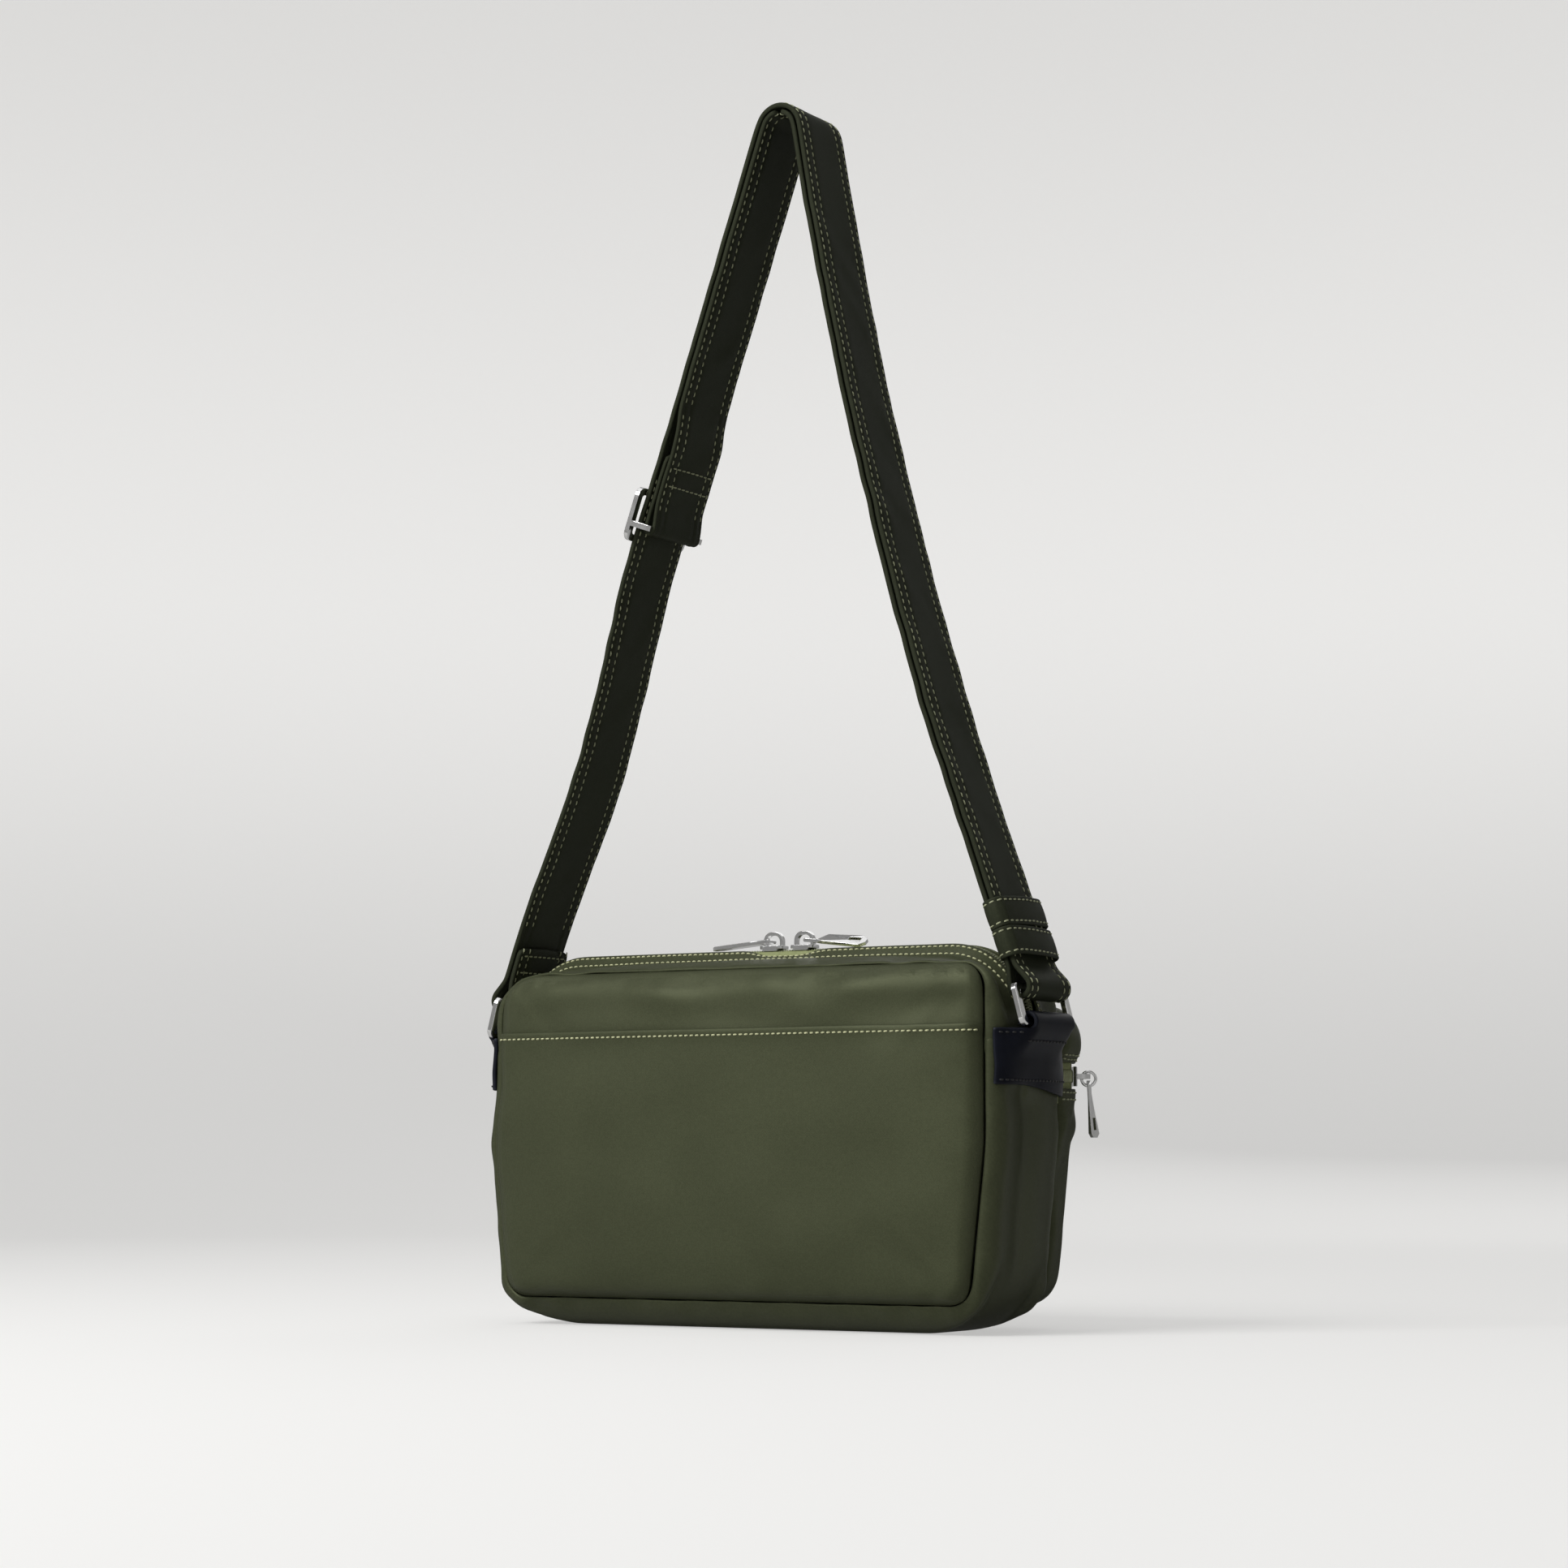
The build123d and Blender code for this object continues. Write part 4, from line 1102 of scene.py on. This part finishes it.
def strap_drift(points, y):
    """Slow twist and fine diagonal creases, in x, the same for both layers of a leg."""
    side = np.where(points[:, 0] > CROWN[0], 1.0, -1.0)
    free = smoothstep(155, 215, points[:, 1]) * (1 - smoothstep(480, 530, points[:, 1]))
    crease = noise_at((points[:, 1] * side + 0.9 * y) / 10.0, y / 22.0, 5.0 * side)
    slow = noise_at(points[:, 1] / 55.0, y / 60.0, 20.0 * side)
    return free * (0.6 * crease + 0.7 * slow)


def on_face(places, sides, y, thickness, face=1):
    """Points on one face of a strap layer, for places and sides in x and z; face 0 is the mid-plane."""
    y = np.broadcast_to(np.asarray(y, float), len(places))
    x, z = (places + sides * (face * face_height(y, thickness))[:, None]).T
    drift = strap_drift(places, np.clip(y, ACROSS[0], ACROSS[-1]))
    return np.column_stack([x + drift, y, z])


def strap_mesh(name, path, thickness):
    sides = visible_side(path)
    y = np.concatenate([ACROSS, [STRAP_HALF], ACROSS[::-1], [-STRAP_HALF]])
    face = np.repeat((1, 0, -1, 0), (len(ACROSS), 1, len(ACROSS), 1))
    rows = [on_face(np.repeat(place[None], len(y), 0), side, y, thick, face)
            for place, side, thick in zip(path, sides, np.broadcast_to(thickness, len(path)))]
    uv_across = np.concatenate([ACROSS, [20], 40 + ACROSS[::-1], [60]])
    uv = np.stack(np.broadcast_arrays(distance_along(path)[:, None], uv_across[None]), -1)
    obj = make_object(name, *tube(np.array(rows)), uv=uv.reshape(-1, 2))
    face_outwards(obj)
    bake_modifiers(obj, subdivide=1)
    return obj


def strap_rows(stitches, path, thickness, keep, face=1):
    """Rows of stitches along both edges of one face of a strap layer, where keep says so."""
    sides = visible_side(path)
    facing = np.column_stack([sides[:, 0], np.zeros(len(path)), sides[:, 1]]) * face
    for row in ROW_PLACES:
        for y in (row, -row):
            stitches.row(on_face(path, sides, y, thickness, face)[keep], facing[keep])


def strap_cross_row(stitches, path, place):
    """A row of stitches across a strap layer, at the path's point nearest to place."""
    k = int(np.argmin(((path - place) ** 2).sum(1)))
    side = visible_side(path)[k]
    y = np.linspace(-16, 16, 24)
    points = on_face(np.repeat(path[k][None], len(y), 0), side, y, STRAP_THICKNESS)
    stitches.row(points, np.repeat([[side[0], 0, side[1]]], len(y), 0))


inner_thickness = SEWN_THICKNESS + (STRAP_THICKNESS - SEWN_THICKNESS) * smoothstep(400, 430, inner_path[:, 1])
strap_main = strap_mesh("strap_main", main_path, STRAP_THICKNESS)
strap_inner = strap_mesh("strap_adjusting", inner_path, inner_thickness)
# blend ranges for the legs above the keepers and for the inner layer by the adjuster; places in metres; the pieces
# themselves are only baked in place
FOLD_BLEND = {"from": "bag", "to": "strap", "start": (0, 0, 0.205), "end": (0, 0, 0.295)}
SLIDE_BLEND = {"from": "strap", "to": "adjuster", "start": (0, 0, 0.520), "end": (0, 0, 0.400)}
finish_piece(strap_main, FOLD_BLEND, SHADED_STRAP_NYLON,
             ("strap_outer_layer", "strap_loop_left", "strap_loop_right"))
finish_piece(strap_inner, SLIDE_BLEND, SHADED_STRAP_NYLON, ("strap_inner_layer", "strap_sewn_end"))

main_stitches = Stitches("stitches_strap_main", FOLD_BLEND, "strap_fabric", OLIVE_THREAD, 0.8, 3.5)
strap_rows(main_stitches, main_path, STRAP_THICKNESS, np.ones(len(main_path), bool))
on_right = (main_path[:, 0] > 20) & (main_path[:, 1] > 178) & (main_path[:, 1] < ADJUSTER_Z + 20)
strap_rows(main_stitches, main_path, STRAP_THICKNESS, on_right, face=-1)
for along in (16.5, 24.5):
    strap_cross_row(main_stitches, main_path[:60], right_leg([along], [-PLY])[0])
inner_stitches = Stitches("stitches_strap_adjusting", SLIDE_BLEND, "strap_fabric", OLIVE_THREAD, 0.8, 3.5)
lowest = int(np.argmin(inner_path[:, 1]))
going_down = np.arange(len(inner_path)) < lowest
over_adjuster = inner_path[:, 1] - ADJUSTER_Z
THINNER = 46                           # below this height over the adjuster the rows follow the sewn end
strap_rows(inner_stitches, inner_path, STRAP_THICKNESS, going_down & (over_adjuster > THINNER))
strap_rows(inner_stitches, inner_path, SEWN_THICKNESS,
           going_down & (over_adjuster < THINNER) & (over_adjuster > -1))
for along in (16.5, 23.5):
    strap_cross_row(inner_stitches, inner_path[:lowest], right_leg([ADJUSTER_ALONG + along], [SEWN_OUT])[0])

# keepers: two flat fabric bands round both layers of the -X leg
KEEPER_INNER = np.array([3.2, 19.5])
KEEPER_WALL = 1.5
KEEPER_LENGTH = 13.5
KEEPER_CORNER = 3.0
KEEPER_CROWN = 1.7
KEEPER_EDGE = ((0.0, 0.0), (0.35, 0.62), (1.0, 0.8), (1.9, 0.5), (3.0, 0.86))    # from an edge, and rise


def keeper(name, start, tilt):
    half_n, half_y = KEEPER_INNER + KEEPER_WALL / 2
    half = KEEPER_LENGTH / 2
    around = []
    for side_n, side_y, first in ((1, 1, 0), (-1, 1, 90), (-1, -1, 180), (1, -1, 270)):
        for a in np.radians(np.linspace(first, first + 90, 7)):
            around.append((side_n * (half_n - KEEPER_CORNER) + KEEPER_CORNER * math.cos(a),
                           side_y * (half_y - KEEPER_CORNER) + KEEPER_CORNER * math.sin(a)))
    around = resample(around, 96, closed=True)
    ahead = unit(np.roll(around, -1, 0) - np.roll(around, 1, 0))
    facing = np.column_stack([ahead[:, 1], -ahead[:, 0]])
    profile = [(u - half, rise) for u, rise in KEEPER_EDGE] + [(0, 0.98)]
    profile += [(half - u, rise) for u, rise in KEEPER_EDGE[::-1]]
    profile += [(half - 0.4, -0.6), (0, -0.7), (-half + 0.4, -0.6)]
    rows = []
    for (n, y), (facing_n, facing_y) in zip(around, facing):
        line = []
        crown = KEEPER_CROWN * math.cos(min(abs(y) / half_y, 1.0) * math.pi / 2) ** 0.8 * (n > half_n - 0.4)
        for u, rise in profile:
            saddle = 0.15 * math.cos(y / half_y * math.pi / 2) * (u / half)
            along = start + half + u + tilt * y / half_y + 0.25 * noise.noise(Vector((y / 9, n / 4, start)))
            puff = rise * KEEPER_WALL / 1.6 + 0.12 * noise.noise(Vector((y / 5, u / 6, start)))
            place = LEFT_BAR + STUB_UP * along + STUB_OUT * (n + crown + facing_n * puff + LOOP_SHIFT + saddle)
            line.append((place[0], y + facing_y * puff, place[1]))
        rows.append(line)
    rows = np.array(rows)
    count, sides = rows.shape[:2]
    faces = [tuple(v % (count * sides) for v in face) for face in grid_faces(count + 1, sides)]
    uv = np.stack(np.meshgrid(np.arange(sides) * 2.0, np.arange(count) * 0.85), -1).reshape(-1, 2)
    obj = make_object(name + "_band", rows.reshape(-1, 3), faces, uv=uv)
    face_outwards(obj)
    bake_modifiers(obj, subdivide=1)
    finish_piece(obj, name, SHADED_STRAP_NYLON, (name,))
    threads = Stitches("stitches_" + name, name, "strap_fabric", OLIVE_THREAD, 0.8, 3.6)
    outward = np.column_stack([facing[:, 0] * STUB_OUT[0], facing[:, 1], facing[:, 0] * STUB_OUT[1]])
    for column in (3, 7):
        line = rows[:, column]
        threads.row(np.vstack([line, line[:1]]), np.vstack([outward, outward[:1]]))
    threads.build()


keeper("keeper_lower", 12.4, 0.5)
keeper("keeper_upper", 26.3, -0.4)
main_stitches.build()
inner_stitches.build()


# ------------------------------------------------------------------ leather tabs
tab_low, tab_high = box_mm("leather_tab_right")
TAB_TOP = tab_high[2] - 7.3
TAB_EDGE = 30.6
LOWER_BAR = np.array([138.6, 131.5])
TONGUE = 18.0                          # half width of the tongue over the ring's lower bar
LEATHER_THICKNESS = 2.0
LOOP_TURN = 2.8 + LEATHER_THICKNESS / 2
DROOP = 4.5                            # of the lower edge's front corner
FAR_OUT = 200.0
tab_stitches = Stitches("stitches_tabs", "bag", "tab_leather", material=DARK_THREAD)
skin_trees = [surface_of(pieces[name]) for name in ("gusset", "band_rear", "band_front")]


def skin(sign, y, z):
    """How far out the bag's end reaches at y and z."""
    start = Vector((sign * FAR_OUT, math.copysign(max(abs(y), ZIP_EDGE + 3.0), y), z)) * MM
    hits = [tree.ray_cast(start, Vector((-sign, 0, 0)))[0] for tree in skin_trees]
    return max((abs(hit.x) / MM for hit in hits if hit is not None), default=SEAM_X)


def leather_tab(sign, label):
    """A band across the gusset whose middle rises as a tongue, over the ring's lower bar and back in."""
    ys = np.concatenate([np.linspace(-TAB_EDGE, -TONGUE - 3, 9), np.linspace(-TONGUE - 1.5, TONGUE + 1.5, 25),
                         np.linspace(TONGUE + 3, TAB_EDGE, 9)])
    zs = np.linspace(tab_low[2], TAB_TOP, 21)
    base = np.array([[skin(sign, y, z) for y in ys] for z in zs])
    for _ in range(3):
        base[1:-1] = (base[:-2] + 2 * base[1:-1] + base[2:]) / 4
        base[:, 1:-1] = (base[:, :-2] + 2 * base[:, 1:-1] + base[:, 2:]) / 4
    z = zs[:, None]
    rise = smoothstep(115.0, TAB_TOP + 2.5, z) * (1 - smoothstep(TONGUE - 3.0, TONGUE + 8.0, np.abs(ys)))
    x = base + LEATHER_THICKNESS / 2 + 0.5
    x += (LOWER_BAR[0] + LOOP_TURN * 0.98 - x) * rise + 0.5 * np.sin(math.pi * smoothstep(105, 121, z))
    droop = DROOP * smoothstep(14, -31, ys) * (1 - smoothstep(tab_low[2] + 4, TAB_TOP - 4, z))
    points = np.stack([sign * x, np.broadcast_to(ys, x.shape), z - droop], -1).reshape(-1, 3).tolist()
    faces = grid_faces(len(zs), len(ys), closed=False)
    tongue = np.flatnonzero(np.abs(ys) <= TONGUE + 0.1)
    previous = list((len(zs) - 1) * len(ys) + tongue)
    for a in np.radians(np.linspace(-25, 200, 17)):
        line = list(range(len(points), len(points) + len(tongue)))
        points += [(sign * (LOWER_BAR[0] + LOOP_TURN * math.cos(a)), y, LOWER_BAR[1] + LOOP_TURN * math.sin(a))
                   for y in ys[tongue]]
        faces += [(previous[k], previous[k + 1], line[k + 1], line[k]) for k in range(len(line) - 1)]
        previous = line
    obj = make_object("leather_tab_" + label + "_strip", points, faces, uv=np.array(points)[:, 1:])
    face_outwards(obj)
    with edited(obj) as mesh:
        mesh.faces.ensure_lookup_table()
        if mesh.faces[10].normal.x * sign < 0:
            bmesh.ops.reverse_faces(mesh, faces=mesh.faces)
    bake_modifiers(obj, LEATHER_THICKNESS, subdivide=1)
    finish_piece(obj, "bag", LEATHER, ("leather_tab_" + label,))
    tree = surface_of(obj)
    rows = [(tab_low[2] + 2.0, -30, 30, 60), (123.5, -TONGUE, TONGUE, 40)]       # height, ends, places
    rows += [(TAB_TOP - 2.0, end * 30, end * (TONGUE + 2.0), 16) for end in (-1, 1)]
    for z, first, last, count in rows:
        starts = [(sign * FAR_OUT, y, z) for y in np.linspace(first, last, count)]
        tab_stitches.row(*lay_on(tree, starts, (-sign, 0, 0)))


leather_tab(1, "right")
leather_tab(-1, "left")
tab_stitches.build()


# ------------------------------------------------------------------ stage, light and camera (metres)
GLOW_FLOOR = rgb(0.49, 0.487, 0.48)
GLOW_WALL = rgb(0.70, 0.695, 0.685)
GLOW_TOP = rgb(0.605, 0.60, 0.59)
SWEEP_RADIUS = 3.6
SWEEP_BEND = 1.6                       # radius of the bend between the floor and the wall
SEGMENTS = 96

g = Graph("pale_sweep")
up = g.node("SeparateXYZ", {0: g.place}).outputs[2]
glow = g.mix(g.ramp(up, 0.0, 0.9), GLOW_FLOOR, GLOW_WALL)
seen = g.node("LightPath").outputs
mirrored = g.math("MULTIPLY", seen["Is Glossy Ray"], 0.32)
g.set(Base_Color=rgb(0.46, 0.458, 0.45), Roughness=1.0, Specular_IOR_Level=0.0,
      Emission_Color=g.mix(g.ramp(up, 0.8, 2.0), glow, GLOW_TOP),
      Emission_Strength=g.math("MAXIMUM", seen["Is Camera Ray"], mirrored))
bend = SWEEP_RADIUS - SWEEP_BEND
profile = [(0.7, 0.0), (1.4, 0.0), (bend, 0.0)]
profile += [(bend + SWEEP_BEND * math.sin(a), SWEEP_BEND - SWEEP_BEND * math.cos(a))
            for a in np.radians(np.linspace(6, 90, 15))]
profile += [(SWEEP_RADIUS, 2.4), (SWEEP_RADIUS, 4.0)]
turns = 2 * np.pi * np.arange(SEGMENTS) / SEGMENTS
sweep_points = [(r * math.cos(a) / MM, r * math.sin(a) / MM, (z - 0.0002) / MM) for r, z in profile for a in turns]
sweep = make_object("sweep", sweep_points, grid_faces(len(profile), SEGMENTS) + [tuple(range(SEGMENTS))])
face_outwards(sweep)
sweep.data.materials.append(g.material)

TARGET = Vector((-0.00697, 0.0, 0.24123))
BACK = Vector((-0.5222, 0.8462, -0.1057)).normalized()
RIGHT = Vector((-0.8510, -0.5252, 0.0))
UP = Vector((0, 0, 1))
DISTANCE = 1.59308


def add_and_aim(name, data, place, aim):
    obj = link(bpy.data.objects.new(name, data))
    obj.location = place
    obj.rotation_mode = "QUATERNION"
    obj.rotation_quaternion = aim.to_track_quat("-Z", "Y")
    return obj


for name, place, width, depth, power in (
        ("key", TARGET - RIGHT * 1.3 + BACK * 1.0 + UP * 1.25, 1.1, 1.1, 30.0),
        ("low", TARGET - RIGHT * 0.8 + BACK * 2.2 + UP * 0.95, 1.4, 1.0, 4.5),
        ("overhead", TARGET - RIGHT * 0.2 - BACK * 0.1 + UP * 1.9, 1.8, 1.8, 9.5),
        ("fill", TARGET + RIGHT * 0.9 + BACK * 1.5 + UP * 0.5, 1.2, 1.2, 0.35),
        ("front", Vector((0.4, -2.1, 1.0)), 1.6, 1.6, 7.0)):
    light = bpy.data.lights.new(name, "AREA")
    light.shape = "RECTANGLE"
    light.size, light.size_y, light.energy = width, depth, power
    add_and_aim(name, light, place, Vector((0, 0, 0.2)) - place).visible_camera = False

world = bpy.data.worlds.new("studio")
world.use_nodes = True
background = world.node_tree.nodes["Background"].inputs
background["Color"].default_value = rgb(1.0, 1.0, 1.0)
background["Strength"].default_value = 0.12
scene = bpy.context.scene
scene.world = world
scene.view_settings.view_transform = "Standard"

lens = bpy.data.cameras.new("camera")
lens.lens = 81.52
lens.sensor_width = 36.0
lens.clip_start = 0.05
scene.camera = add_and_aim("camera", lens, TARGET + BACK * DISTANCE, -BACK)
